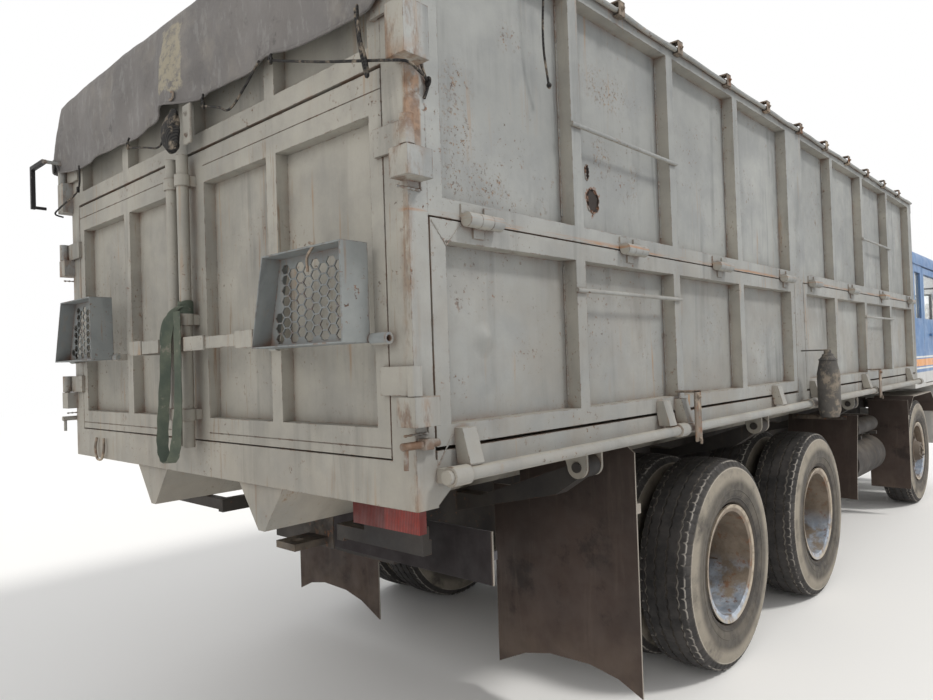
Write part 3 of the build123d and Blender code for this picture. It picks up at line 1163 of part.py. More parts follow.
rear_flap_outline = [
    (FRAME_HALF_WIDTH + 2, 130), (FRAME_HALF_WIDTH + 160, 205), (FRAME_HALF_WIDTH + 300, 238),
    (FLAP_OUTER_Y - 250, 244),
    (FLAP_OUTER_Y - 110, 218), (FLAP_OUTER_Y, 166), (FLAP_OUTER_Y, TIP_AXIS_Z + 30),
    (FLAP_OUTER_Y - 40, TIP_AXIS_Z + 60),
    (BEAM_Y + BEAM_HALF_WIDTH + 20, SIDE_RAIL_BOTTOM - 14), (BEAM_Y + BEAM_HALF_WIDTH + 20, FRAME_TOP - 10),
    (FRAME_HALF_WIDTH + 2, FRAME_TOP - 10),
]
front_flap_outline = [
    (FRONT_FLAP_INNER_Y, 240), (FLAP_OUTER_Y, 240), (FLAP_OUTER_Y, FRAME_TOP + 80),
    (FRONT_FLAP_INNER_Y, FRAME_TOP + 80),
]
right_flaps = [
    hung_flap(REAR_FLAP_X, rear_flap_outline, FLAP_OUTER_Y, FRAME_TOP - 50),
    hung_flap(FRONT_FLAP_X, front_flap_outline, FLAP_OUTER_Y, FRAME_TOP - 80),
]
apron_sheet = block(APRON_X, APRON_X + FLAP_WALL, -BODY_HALF_WIDTH + 220, -130, FRAME_BOTTOM + 42,
    FRAME_TOP - 20)
apron_notch = block(
    APRON_X - 10, APRON_X + 20, -FRAME_HALF_WIDTH - 40 - MOVING_GAP, -FRAME_HALF_WIDTH + MOVING_GAP,
    LAMP_ARM_TOP - 60 - MOVING_GAP, FRAME_TOP,
)
apron = fused([
    apron_sheet - apron_notch,
    block(APRON_X + FLAP_WALL, APRON_X + FLAP_WALL + 30, -BODY_HALF_WIDTH + 230, -FRAME_HALF_WIDTH + 30,
    FRAME_TOP - 125, FRAME_TOP - 95),
    block(APRON_X + FLAP_WALL, FRAME_REAR_X, -FRAME_HALF_WIDTH + 10, -FRAME_HALF_WIDTH + 30,
    FRAME_TOP - 125, FRAME_TOP - 95),
])

# Guard over a front wheel: a folded strip from the flap up and over, on a bracket beside the rail
guard_top = AXLE_Z + TYRE_RADIUS + GUARD_CLEARANCE
GUARD_FOLDS = [(-672, -235), (-610, -125), (-420, 0), (420, 0), (600, -110), (652, -215)]
guard_outer = [(FRONT_AXLE_X + dx, guard_top + dz) for dx, dz in GUARD_FOLDS]
guard_inner = [(x, z - FLAP_WALL) for x, z in reversed(guard_outer)]
GUARD_BRACKET_X = FRONT_AXLE_X + 340
guard = fused([
    prism_y(guard_outer + guard_inner, -FLAP_OUTER_Y, -FRONT_FLAP_INNER_Y),
    block(GUARD_BRACKET_X, GUARD_BRACKET_X + 40, -FRONT_FLAP_INNER_Y - 60, -FRAME_HALF_WIDTH - 10,
    guard_top - 24, guard_top - 6),
    block(GUARD_BRACKET_X, GUARD_BRACKET_X + 40, -FRAME_HALF_WIDTH - 22, -FRAME_HALF_WIDTH,
    FRAME_TOP - 90, guard_top - 6),
])
front_set = fused([right_flaps[1], guard])
node("mudflaps", *both_sides(right_flaps[0], front_set), apron)

# Lamps: tail lamps on the frame's brackets, headlamps in the bumper
tail_lamp = block(LAMP_X - 22, LAMP_X + 10, -LAMP_OUTER_Y, -LAMP_INNER_Y, LAMP_BOTTOM - 16, LAMP_TOP)
HEAD_LAMP_Y = CAB_HALF_WIDTH - 300
HEAD_LAMP_Z = FRAME_BOTTOM - 90
lamp_disc = rod_x(BUMPER_FRONT_X - 30, BUMPER_FRONT_X - 6, -HEAD_LAMP_Y, HEAD_LAMP_Z, 84)
node("tail_lamps", *both_sides(tail_lamp))
node("head_lamps", *both_sides(lamp_disc))

# Bumper of folded sheet with recesses for the headlamps
BUMPER_BOTTOM = FRAME_BOTTOM - 250
BUMPER_TOP = FRAME_BOTTOM + 55
BUMPER_HALF_WIDTH = CAB_HALF_WIDTH - 20
BUMPER_DEPTH = 130
BUMPER_WALL = 20
bumper_rear_x = BUMPER_FRONT_X - BUMPER_DEPTH
bumper_outline = [
    (bumper_rear_x, BUMPER_BOTTOM), (BUMPER_FRONT_X - 20, BUMPER_BOTTOM),
    (BUMPER_FRONT_X, BUMPER_BOTTOM + 40),
    (BUMPER_FRONT_X, BUMPER_TOP - 30), (BUMPER_FRONT_X - 20, BUMPER_TOP), (bumper_rear_x, BUMPER_TOP),
]
bumper = prism_y(bumper_outline, -BUMPER_HALF_WIDTH, BUMPER_HALF_WIDTH)
bumper = bumper - block(
    bumper_rear_x - 1, BUMPER_FRONT_X - 34, -BUMPER_HALF_WIDTH + 40, BUMPER_HALF_WIDTH - 40,
    BUMPER_BOTTOM + BUMPER_WALL, BUMPER_TOP - BUMPER_WALL,
)
for s in (-1, 1):
    bumper = bumper - rod_x(BUMPER_FRONT_X - 40, BUMPER_FRONT_X + 5, s * HEAD_LAMP_Y, HEAD_LAMP_Z,
        84 + SEAT_GAP)
    backing = rod_x(BUMPER_FRONT_X - 44, BUMPER_FRONT_X - 30 - SEAT_GAP, s * HEAD_LAMP_Y, HEAD_LAMP_Z, 95)
    horn_y = s * (FRAME_HALF_WIDTH - 43)
    horn = block(FRAME_FRONT_X, BUMPER_FRONT_X - 30, horn_y - 35, horn_y + 35, FRAME_BOTTOM,
        BUMPER_TOP - BUMPER_WALL)
    bumper = bumper + backing + horn
node("bumper", bumper)


# Steps below the cab doors, ahead of the front wheels
STEP_BOX_REAR_X = CAB_DOOR_FRONT_X - 430
STEP_BOX_FRONT_X = CAB_DOOR_FRONT_X - 10
STEP_BOX_OUTER_Y = CAB_HALF_WIDTH - 20
STEP_BOX_INNER_Y = CAB_HALF_WIDTH - 300
STEP_BOX_BOTTOM = FRAME_BOTTOM - 210
STEP_BOX_TOP = CAB_BOTTOM - 40


def cab_step():
    x0, x1, z0, z1 = STEP_BOX_REAR_X, STEP_BOX_FRONT_X, STEP_BOX_BOTTOM, STEP_BOX_TOP
    outer, inner = -STEP_BOX_OUTER_Y, -STEP_BOX_INNER_Y
    cheeks = [block(x0, x0 + 12, outer, inner, z0, z1), block(x1 - 12, x1, outer, inner, z0, z1)]
    treads = [block(x0, x1, outer, inner, z, z + 20) for z in (z0, FRAME_BOTTOM + 80)]
    lips = [block(x0, x1, outer, outer + 12, z, z + 45) for z in (z0, FRAME_BOTTOM + 80)]
    arm = block(x0 + 100, x0 + 160, inner, -FRAME_HALF_WIDTH, FRAME_BOTTOM + 80, FRAME_BOTTOM + 140)
    back = block(x0, x1, inner - 12, inner, z0, z1)
    return fused(cheeks + treads + lips + [arm, back])


node("cab_steps", *both_sides(cab_step()))


# Cab shell from one body, hollowed and then split where its panels meet
def cab_body(inset):
    outline = [
        (CAB_REAR_X + inset, CAB_BOTTOM + inset), (CAB_REAR_X + inset, CAB_ROOF - 50 - inset),
        (CAB_REAR_X + 160, CAB_ROOF - inset), (CAB_FRONT_X - 320, CAB_ROOF - inset),
        (CAB_FRONT_X - 175 - inset, CAB_ROOF - 110 - inset), (CAB_FRONT_X - 25 - inset, WINDOW_BOTTOM - 75),
        (CAB_FRONT_X - inset, CAB_BOTTOM + 250), (CAB_FRONT_X - inset, CAB_BOTTOM + inset),
    ]
    half = CAB_HALF_WIDTH - inset
    body = prism_y(outline, -half, half)
    radius = CAB_CORNER - inset
    roof_edges = body.edges().filter_by(lambda e: abs(e.center().Y) > half - 1 and e.center().Z > CAB_ROOF - 140 - inset)
    return fillet(roof_edges, radius * 0.8)


cab_outer = cab_body(0)
cab_shell = cab_outer - cab_body(CAB_WALL)

door_zone = (CAB_DOOR_REAR_X, CAB_DOOR_FRONT_X, CAB_DOOR_BOTTOM, CAB_DOOR_TOP)
WINDOW_FRAME = 70
window_outline = [
    (CAB_DOOR_REAR_X + WINDOW_FRAME, WINDOW_BOTTOM), (CAB_DOOR_FRONT_X - WINDOW_FRAME, WINDOW_BOTTOM),
    (CAB_DOOR_FRONT_X - WINDOW_FRAME - 40, WINDOW_TOP), (CAB_DOOR_REAR_X + WINDOW_FRAME, WINDOW_TOP),
]


def side_cut(outline, side):
    """A cutter through one side wall of the cab."""
    y0, y1 = sorted([side * (CAB_HALF_WIDTH + 10), side * (CAB_HALF_WIDTH - CAB_WALL - 10)])
    return prism_y(outline, y0, y1)


def rectangle(x0, x1, z0, z1):
    return [(x0, z0), (x1, z0), (x1, z1), (x0, z1)]


door_opening = rectangle(CAB_DOOR_REAR_X - CAB_DOOR_GAP, CAB_DOOR_FRONT_X + CAB_DOOR_GAP,
    CAB_DOOR_BOTTOM - CAB_DOOR_GAP,
                         CAB_DOOR_TOP + CAB_DOOR_GAP)
door_outline = rectangle(CAB_DOOR_REAR_X, CAB_DOOR_FRONT_X, CAB_DOOR_BOTTOM, CAB_DOOR_TOP)
QUARTER_WINDOW = rectangle(CAB_REAR_X + 160, CAB_DOOR_REAR_X - 100, WINDOW_BOTTOM, WINDOW_TOP)
SCREEN_HALF = CAB_HALF_WIDTH - 140
SCREEN_BOTTOM = WINDOW_BOTTOM - 35
SCREEN_TOP = CAB_ROOF - 170
REAR_WINDOW_HALF = CAB_HALF_WIDTH - 780

right_cab_door = (cab_shell & side_cut(door_outline, -1)) - side_cut(window_outline, -1)
open_shell = cab_shell
for side in (-1, 1):
    open_shell = open_shell - side_cut(door_opening, side) - side_cut(QUARTER_WINDOW, side)
open_shell = open_shell - block(CAB_FRONT_X - 260, CAB_FRONT_X + 20, -SCREEN_HALF, SCREEN_HALF,
    SCREEN_BOTTOM, SCREEN_TOP)
open_shell = open_shell - block(CAB_REAR_X - 10, CAB_REAR_X + CAB_WALL + 10, -REAR_WINDOW_HALF,
    REAR_WINDOW_HALF,
                                WINDOW_BOTTOM + 40, WINDOW_TOP)

ROOF_SPLIT = CAB_ROOF - 150
FRONT_SPLIT = CAB_DOOR_FRONT_X + CAB_DOOR_GAP
zone_rear, zone_front, zone_half = CAB_REAR_X - 50, CAB_FRONT_X + 50, CAB_HALF_WIDTH + 50
roof = open_shell & block(zone_rear, zone_front, -zone_half, zone_half, ROOF_SPLIT, CAB_ROOF + 50)
lower_shell = open_shell & block(zone_rear, zone_front, -zone_half, zone_half, CAB_BOTTOM - 50, ROOF_SPLIT)
front_zone = block(FRONT_SPLIT, zone_front, -zone_half, zone_half, CAB_BOTTOM + CAB_WALL, ROOF_SPLIT)
floor_zone = block(zone_rear, zone_front, -zone_half, zone_half, CAB_BOTTOM - 50, CAB_BOTTOM + CAB_WALL)
cab_front = lower_shell & front_zone
cab_floor = lower_shell & floor_zone
cab_back = lower_shell - front_zone - floor_zone

# Skirt below the screen with the grille's slots
SKIRT_BOTTOM = CAB_BOTTOM - 270
GRILLE_RISES = [70, 118, 166, 214, 262, 310, 358]
GRILLE_SLOT = 28
GRILLE_COLUMN = 410
GRILLE_BAR = 24
skirt_half = CAB_HALF_WIDTH - 70
skirt = block(CAB_FRONT_X - CAB_WALL, CAB_FRONT_X, -skirt_half, skirt_half, SKIRT_BOTTOM,
    CAB_BOTTOM + CAB_WALL)
slots = []
for rise in GRILLE_RISES:
    z = CAB_BOTTOM + rise
    for column in (-1, 0, 1):
        y_mid = column * (GRILLE_COLUMN + GRILLE_BAR)
        slots.append(block(CAB_FRONT_X - CAB_WALL - 10, CAB_FRONT_X + 10, y_mid - GRILLE_COLUMN / 2,
            y_mid + GRILLE_COLUMN / 2,
                           z, z + GRILLE_SLOT))
cab_front = cab_front.cut(*slots)


def pivot_arm():
    """Arm under the cab floor that turns on the frame's pivot pin."""
    y0, y1 = -CAB_PIVOT_Y - 30, -CAB_PIVOT_Y + 15
    arm = block(CAB_PIVOT_X - 40, CAB_PIVOT_X + 40, y0, y1, CAB_PIVOT_Z, CAB_BOTTOM + 1)
    eye = rod_y(y0, y1, CAB_PIVOT_X, CAB_PIVOT_Z, 40)
    return arm + eye - rod_y(y0 - 1, y1 + 1, CAB_PIVOT_X, CAB_PIVOT_Z, 18 + RUNNING_CLEARANCE)


# Door hinges: two fixed knuckles with a pin on the pillar, one bored knuckle on the door between them
CAB_HINGE_X = CAB_DOOR_FRONT_X + 4
CAB_HINGE_Y = CAB_HALF_WIDTH + 14
CAB_HINGES_Z = [CAB_DOOR_BOTTOM + 230, CAB_DOOR_TOP - 235]
CAB_KNUCKLE = 30
CAB_KNUCKLE_RADIUS = 12
CAB_HINGE_PIN_RADIUS = 6
CAB_LEAF = 48


def door_knuckle(z, direction):
    """Knuckle and leaf; direction is 1 for the pillar ahead of the pin, -1 for the door behind it."""
    knuckle = rod_z(z - CAB_KNUCKLE / 2, z + CAB_KNUCKLE / 2, CAB_HINGE_X, -CAB_HINGE_Y, CAB_KNUCKLE_RADIUS)
    x0, x1 = sorted([CAB_HINGE_X, CAB_HINGE_X + direction * CAB_LEAF])
    leaf = block(x0, x1, -CAB_HALF_WIDTH - 6, -CAB_HALF_WIDTH, z - CAB_KNUCKLE / 2, z + CAB_KNUCKLE / 2)
    return knuckle + leaf


def pillar_hinge(z):
    step = CAB_KNUCKLE + HINGE_GAP
    pin = rod_z(z - step, z + step, CAB_HINGE_X, -CAB_HINGE_Y, CAB_HINGE_PIN_RADIUS)
    return [door_knuckle(z - step, 1), door_knuckle(z + step, 1), pin]


for z in CAB_HINGES_Z:
    right_cab_door = right_cab_door + door_knuckle(z, -1)
    right_cab_door = right_cab_door - rod_z(
        z - CAB_KNUCKLE, z + CAB_KNUCKLE, CAB_HINGE_X, -CAB_HINGE_Y, CAB_HINGE_PIN_RADIUS + RUNNING_CLEARANCE)
    for piece in pillar_hinge(z):
        cab_front = cab_front + piece + to_left(piece)

# Pull handle on each door, gutters over the doors and a visor above the screen
HANDLE_REAR_X = CAB_DOOR_REAR_X + 270
HANDLE_RISE = 470
handle_z = CAB_DOOR_BOTTOM + HANDLE_RISE
pull_handle = [
    block(HANDLE_REAR_X, HANDLE_REAR_X + 150, -CAB_HALF_WIDTH - 26, -CAB_HALF_WIDTH - 16, handle_z,
    handle_z + 24),
    block(HANDLE_REAR_X, HANDLE_REAR_X + 26, -CAB_HALF_WIDTH - 18, -CAB_HALF_WIDTH + 2, handle_z,
    handle_z + 24),
    block(HANDLE_REAR_X + 124, HANDLE_REAR_X + 150, -CAB_HALF_WIDTH - 18, -CAB_HALF_WIDTH + 2, handle_z,
    handle_z + 24),
]
right_cab_door = fused([right_cab_door] + pull_handle)
gutter = block(CAB_REAR_X + 60, FRONT_SPLIT - 4, -CAB_HALF_WIDTH - 12, -CAB_HALF_WIDTH + 2,
    CAB_DOOR_TOP + 10, CAB_DOOR_TOP + 20)
visor_x = CAB_FRONT_X - 150
visor_z = CAB_ROOF - 118
visor_half = SCREEN_HALF - 40
visor = prism_y(
    [(visor_x - 30, visor_z), (visor_x + 96, visor_z - 46), (visor_x + 96, visor_z - 40),
    (visor_x - 30, visor_z + 8)],
    -visor_half, visor_half,
)
node("cab_floor", fused([cab_floor, skirt, pivot_arm(), to_left(pivot_arm())]))
node("cab_front", cab_front)
node("cab_sides", fused([cab_back, gutter, to_left(gutter)]))
node("cab_roof", roof + visor)
node("cab_door_right", right_cab_door)
node("cab_door_left", to_left(right_cab_door))

# Glass fills each window opening and stays a seat gap inside it
g = SEAT_GAP
pane_y = -CAB_HALF_WIDTH + CAB_WALL / 2
door_pane = prism_y(
    [(CAB_DOOR_REAR_X + WINDOW_FRAME + g, WINDOW_BOTTOM + g),
    (CAB_DOOR_FRONT_X - WINDOW_FRAME - g, WINDOW_BOTTOM + g),
     (CAB_DOOR_FRONT_X - WINDOW_FRAME - 40 - g, WINDOW_TOP - g),
     (CAB_DOOR_REAR_X + WINDOW_FRAME + g, WINDOW_TOP - g)],
    pane_y - GLASS / 2, pane_y + GLASS / 2,
)
node("door_glass_right", door_pane)
node("door_glass_left", to_left(door_pane))
quarter_pane = prism_y(rectangle(CAB_REAR_X + 160 + g, CAB_DOOR_REAR_X - 100 - g, WINDOW_BOTTOM + g,
    WINDOW_TOP - g),
                       pane_y - GLASS / 2, pane_y + GLASS / 2)
rear_pane = block(CAB_REAR_X + 20, CAB_REAR_X + 20 + GLASS, -REAR_WINDOW_HALF + g, REAR_WINDOW_HALF - g,
                  WINDOW_BOTTOM + 40 + g, WINDOW_TOP - g)


def screen_x(z):
    """Outer face of the raked windscreen at a height."""
    low_x, low_z = CAB_FRONT_X - 25, WINDOW_BOTTOM - 75
    high_x, high_z = CAB_FRONT_X - 175, CAB_ROOF - 110
    return low_x + (high_x - low_x) * (z - low_z) / (high_z - low_z)


screen = prism_y(
    [(screen_x(SCREEN_BOTTOM) - 15, SCREEN_BOTTOM + g), (screen_x(SCREEN_TOP) - 15, SCREEN_TOP - g),
     (screen_x(SCREEN_TOP) - 15 - GLASS, SCREEN_TOP - g),
     (screen_x(SCREEN_BOTTOM) - 15 - GLASS, SCREEN_BOTTOM + g)],
    -SCREEN_HALF + g, SCREEN_HALF - g,
)
node("cab_glass", screen, rear_pane, *both_sides(quarter_pane))


# Seats, dashboard and steering wheel
SEAT_Y = CAB_HALF_WIDTH - 640
SEAT_REAR_X = CAB_FRONT_X - 1200


def seat(y):
    floor_z = CAB_BOTTOM + CAB_WALL + SEAT_GAP
    x, z = SEAT_REAR_X, floor_z + 370
    base = block(x + 40, x + 440, y - 180, y + 180, floor_z, floor_z + 250)
    cushion = block(x, x + 500, y - 240, y + 240, floor_z + 250, z)
    back = prism_y([(x, z), (x + 120, z), (x + 20, z + 610), (x - 80, z + 610)], y - 230, y + 230)
    return fused([base, cushion, back])


DASH_X = CAB_FRONT_X - 380
DASH_Z = CAB_BOTTOM + 410
dash_half = CAB_HALF_WIDTH - 60
dash = prism_y(
    [(DASH_X, DASH_Z), (DASH_X + 310, DASH_Z), (DASH_X + 310, DASH_Z + 180), (DASH_X + 240, DASH_Z + 230),
     (DASH_X + 60, DASH_Z + 200)],
    -dash_half, dash_half,
)
dash_leg = block(DASH_X + 120, DASH_X + 220, -300, 300, CAB_BOTTOM + CAB_WALL + SEAT_GAP, DASH_Z + 10)
WHEEL_TILT = -25
WHEEL_X = CAB_FRONT_X - 500
WHEEL_Z = CAB_BOTTOM + 610
wheel_place = Pos(WHEEL_X, SEAT_Y, WHEEL_Z) * Rot(0, WHEEL_TILT, 0)
wheel_ring = wheel_place * Torus(230, 14)
wheel_spoke = wheel_place * Box(40, 450, 14)
column = Pos(WHEEL_X + 52, SEAT_Y, WHEEL_Z - 112) * Rot(0, WHEEL_TILT, 0) * Cylinder(26, 248)
node("cab_interior", fused([dash, dash_leg]), fused([wheel_ring, wheel_spoke, column]), seat(-SEAT_Y),
    seat(SEAT_Y))

# Mirrors on arms at the front pillars
MIRROR_X = CAB_FRONT_X - 160
MIRROR_Y = CAB_HALF_WIDTH + 130
MIRROR_BOTTOM = CAB_BOTTOM + 630
MIRROR_TOP = CAB_BOTTOM + 990
arm_low, arm_high = MIRROR_BOTTOM - 80, MIRROR_TOP + 60
mirror_arm = fused([
    rod_y(-MIRROR_Y - 9, -CAB_HALF_WIDTH, MIRROR_X, arm_low, 9),
    rod_y(-MIRROR_Y - 9, -CAB_HALF_WIDTH, MIRROR_X, arm_high, 9),
    rod_z(arm_low, arm_high, MIRROR_X, -MIRROR_Y, 9),
    block(MIRROR_X - 5, MIRROR_X + 40, -MIRROR_Y - 80, -MIRROR_Y + 80, MIRROR_BOTTOM, MIRROR_TOP),
])
node("cab_mirrors", *both_sides(mirror_arm))

# Tipping ram: outer tube on trunnions and three stages, the last with the eye
STAGE_RADII = [66, 52, 40]
RAM_TOP = RAM_EYE_Z - 70
GLAND_HEIGHT = 25


def stage_bore(low, high, stage_radius):
    """The hollow round a stage: wide below, and a running fit in the gland at its mouth."""
    wide = rod_z(low, high - GLAND_HEIGHT, RAM_X, 0, stage_radius + MOVING_GAP / 2)
    return wide + rod_z(low, high + 1, RAM_X, 0, stage_radius + RUNNING_CLEARANCE)


def ram_tube():
    outer = rod_z(RAM_PIVOT_Z - 60, RAM_TOP, RAM_X, 0, RAM_RADIUS)
    bore = stage_bore(RAM_PIVOT_Z - 40, RAM_TOP, STAGE_RADII[0])
    reach = cheek_inner + CHEEK_WALL - 2
    pins = [rod_x(RAM_X - reach, RAM_X - RAM_RADIUS + 3, 0, RAM_PIVOT_Z, TRUNNION_RADIUS),
            rod_x(RAM_X + RAM_RADIUS - 3, RAM_X + reach, 0, RAM_PIVOT_Z, TRUNNION_RADIUS)]
    return fused([outer - bore] + pins)


def ram_stage(i):
    low = RAM_PIVOT_Z - 36 + 8 * i
    high = RAM_TOP + 8 + 8 * i
    outer = rod_z(low, high, RAM_X, 0, STAGE_RADII[i])
    if i + 1 < len(STAGE_RADII):
        return outer - stage_bore(low + 6, high, STAGE_RADII[i + 1])
    eye = rod_x(RAM_X - RAM_EYE_WIDTH / 2, RAM_X + RAM_EYE_WIDTH / 2, 0, RAM_EYE_Z, 32)
    neck = block(RAM_X - RAM_EYE_WIDTH / 2, RAM_X + RAM_EYE_WIDTH / 2, -26, 26, high - 1, RAM_EYE_Z)
    return outer + neck + eye


node("ram_tube", ram_tube())
for i in range(len(STAGE_RADII)):
    node(f"ram_stage_{i + 1}", ram_stage(i))

# Export, with the origin under the middle of the truck's length
os.makedirs("parts", exist_ok=True)
REAR_TIP_X = -STEP_DEPTH - 40
MIDDLE_X = (REAR_TIP_X + BUMPER_FRONT_X) / 2
for name, solids in NODES.items():
    pieces = []
    for shape in solids:
        pieces += [Pos(-MIDDLE_X, 0, 0) * solid for solid in shape.solids()]
    whole = pieces[0] if len(pieces) == 1 else Compound(children=pieces)
    export_step(whole, f"parts/{name}.step")
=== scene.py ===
import json
import math
import bmesh
import bpy
from mathutils import Matrix, Vector, noise


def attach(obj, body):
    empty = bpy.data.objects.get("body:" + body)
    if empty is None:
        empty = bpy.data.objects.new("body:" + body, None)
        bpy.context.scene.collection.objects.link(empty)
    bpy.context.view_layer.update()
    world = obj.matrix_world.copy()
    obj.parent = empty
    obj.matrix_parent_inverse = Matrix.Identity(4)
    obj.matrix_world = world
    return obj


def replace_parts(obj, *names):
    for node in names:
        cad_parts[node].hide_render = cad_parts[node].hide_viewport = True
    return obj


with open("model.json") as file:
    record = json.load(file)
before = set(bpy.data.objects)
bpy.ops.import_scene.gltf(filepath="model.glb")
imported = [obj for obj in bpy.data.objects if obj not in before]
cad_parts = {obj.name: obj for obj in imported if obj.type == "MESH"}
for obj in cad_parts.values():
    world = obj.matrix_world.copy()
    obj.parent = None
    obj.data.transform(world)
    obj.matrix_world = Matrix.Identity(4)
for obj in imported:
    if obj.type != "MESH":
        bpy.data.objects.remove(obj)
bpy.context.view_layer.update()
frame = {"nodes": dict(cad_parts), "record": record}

# Metres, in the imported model's frame. A station is a distance ahead of the rear face of the corner posts.
MIDDLE = 4.1025
SIDE = 1.25
SIDES = ((-1, "right"), (1, "left"))


def at(x, y, z):
    """A point of the model from its station, its distance to the left and its height."""
    return Vector((x - MIDDLE, y, z))


def place(name, data):
    """A new object in the scene."""
    obj = bpy.data.objects.new(name, data)
    bpy.context.scene.collection.objects.link(obj)
    return obj


def is_socket(value):
    return isinstance(value, bpy.types.NodeSocket)


def add_node(tree, kind, inputs=None, **props):
    """A node whose inputs are values or the outputs of other nodes."""
    made = tree.nodes.new(kind)
    for key, value in props.items():
        setattr(made, key, value)
    for key, value in (inputs or {}).items():
        if is_socket(value):
            tree.links.new(value, made.inputs[key])
        else:
            made.inputs[key].default_value = value
    return made


# Camera, from the fit to the photo
LENS = 27.40
EYE = (-5.4138, -2.6509, 1.5503)
AXES = ((0.67671, -0.73550, -0.03306), (0.01013, -0.03560, 0.99931), (-0.73618, -0.67659, -0.01664))
camera_data = bpy.data.cameras.new("camera")
camera_data.lens = LENS
camera_data.sensor_width = 36
camera = place("camera", camera_data)
camera.matrix_world = Matrix.Translation(EYE) @ Matrix(AXES).transposed().to_4x4()
bpy.context.scene.camera = camera
bpy.context.scene.view_settings.view_transform = "Standard"


# Lights: a white surround, dimmer for light that it casts than for what is seen of it, and three soft suns
def surround():
    world = bpy.data.worlds.new("studio")
    bpy.context.scene.world = world
    world.use_nodes = True
    tree = world.node_tree
    rays = tree.nodes.new("ShaderNodeLightPath").outputs
    seen = rays["Is Camera Ray"]
    for kind in ("Is Transmission Ray", "Is Glossy Ray"):
        seen = add_node(tree, "ShaderNodeMath", {0: seen, 1: rays[kind]}, operation="MAXIMUM").outputs[0]
    strength = add_node(tree, "ShaderNodeMapRange", {"Value": seen, "To Min": 0.62, "To Max": 1.0}).outputs[0]
    background = tree.nodes["Background"].inputs
    tree.links.new(strength, background["Strength"])
    background["Color"].default_value = (1, 1, 1, 1)


def lamp(name, toward, energy, angle, colour):
    """A soft sun that shines along the direction toward."""
    data = bpy.data.lights.new(name, "SUN")
    data.energy = energy
    data.angle = math.radians(angle)
    data.color = colour
    obj = place(name, data)
    obj.rotation_mode = "QUATERNION"
    obj.rotation_quaternion = Vector(toward).to_track_quat("-Z", "Y")


surround()
lamp("key", (-0.26, 0.60, -0.76), 1.7, 10, (1.0, 0.98, 0.94))
lamp("rear", (0.80, 0.22, -0.42), 0.8, 50, (1.0, 0.97, 0.93))
lamp("fill", (-0.5, -0.7, -0.5), 0.4, 60, (0.94, 0.97, 1.0))


# Materials are built from nodes on the piece's own coordinates
MATERIALS = {}


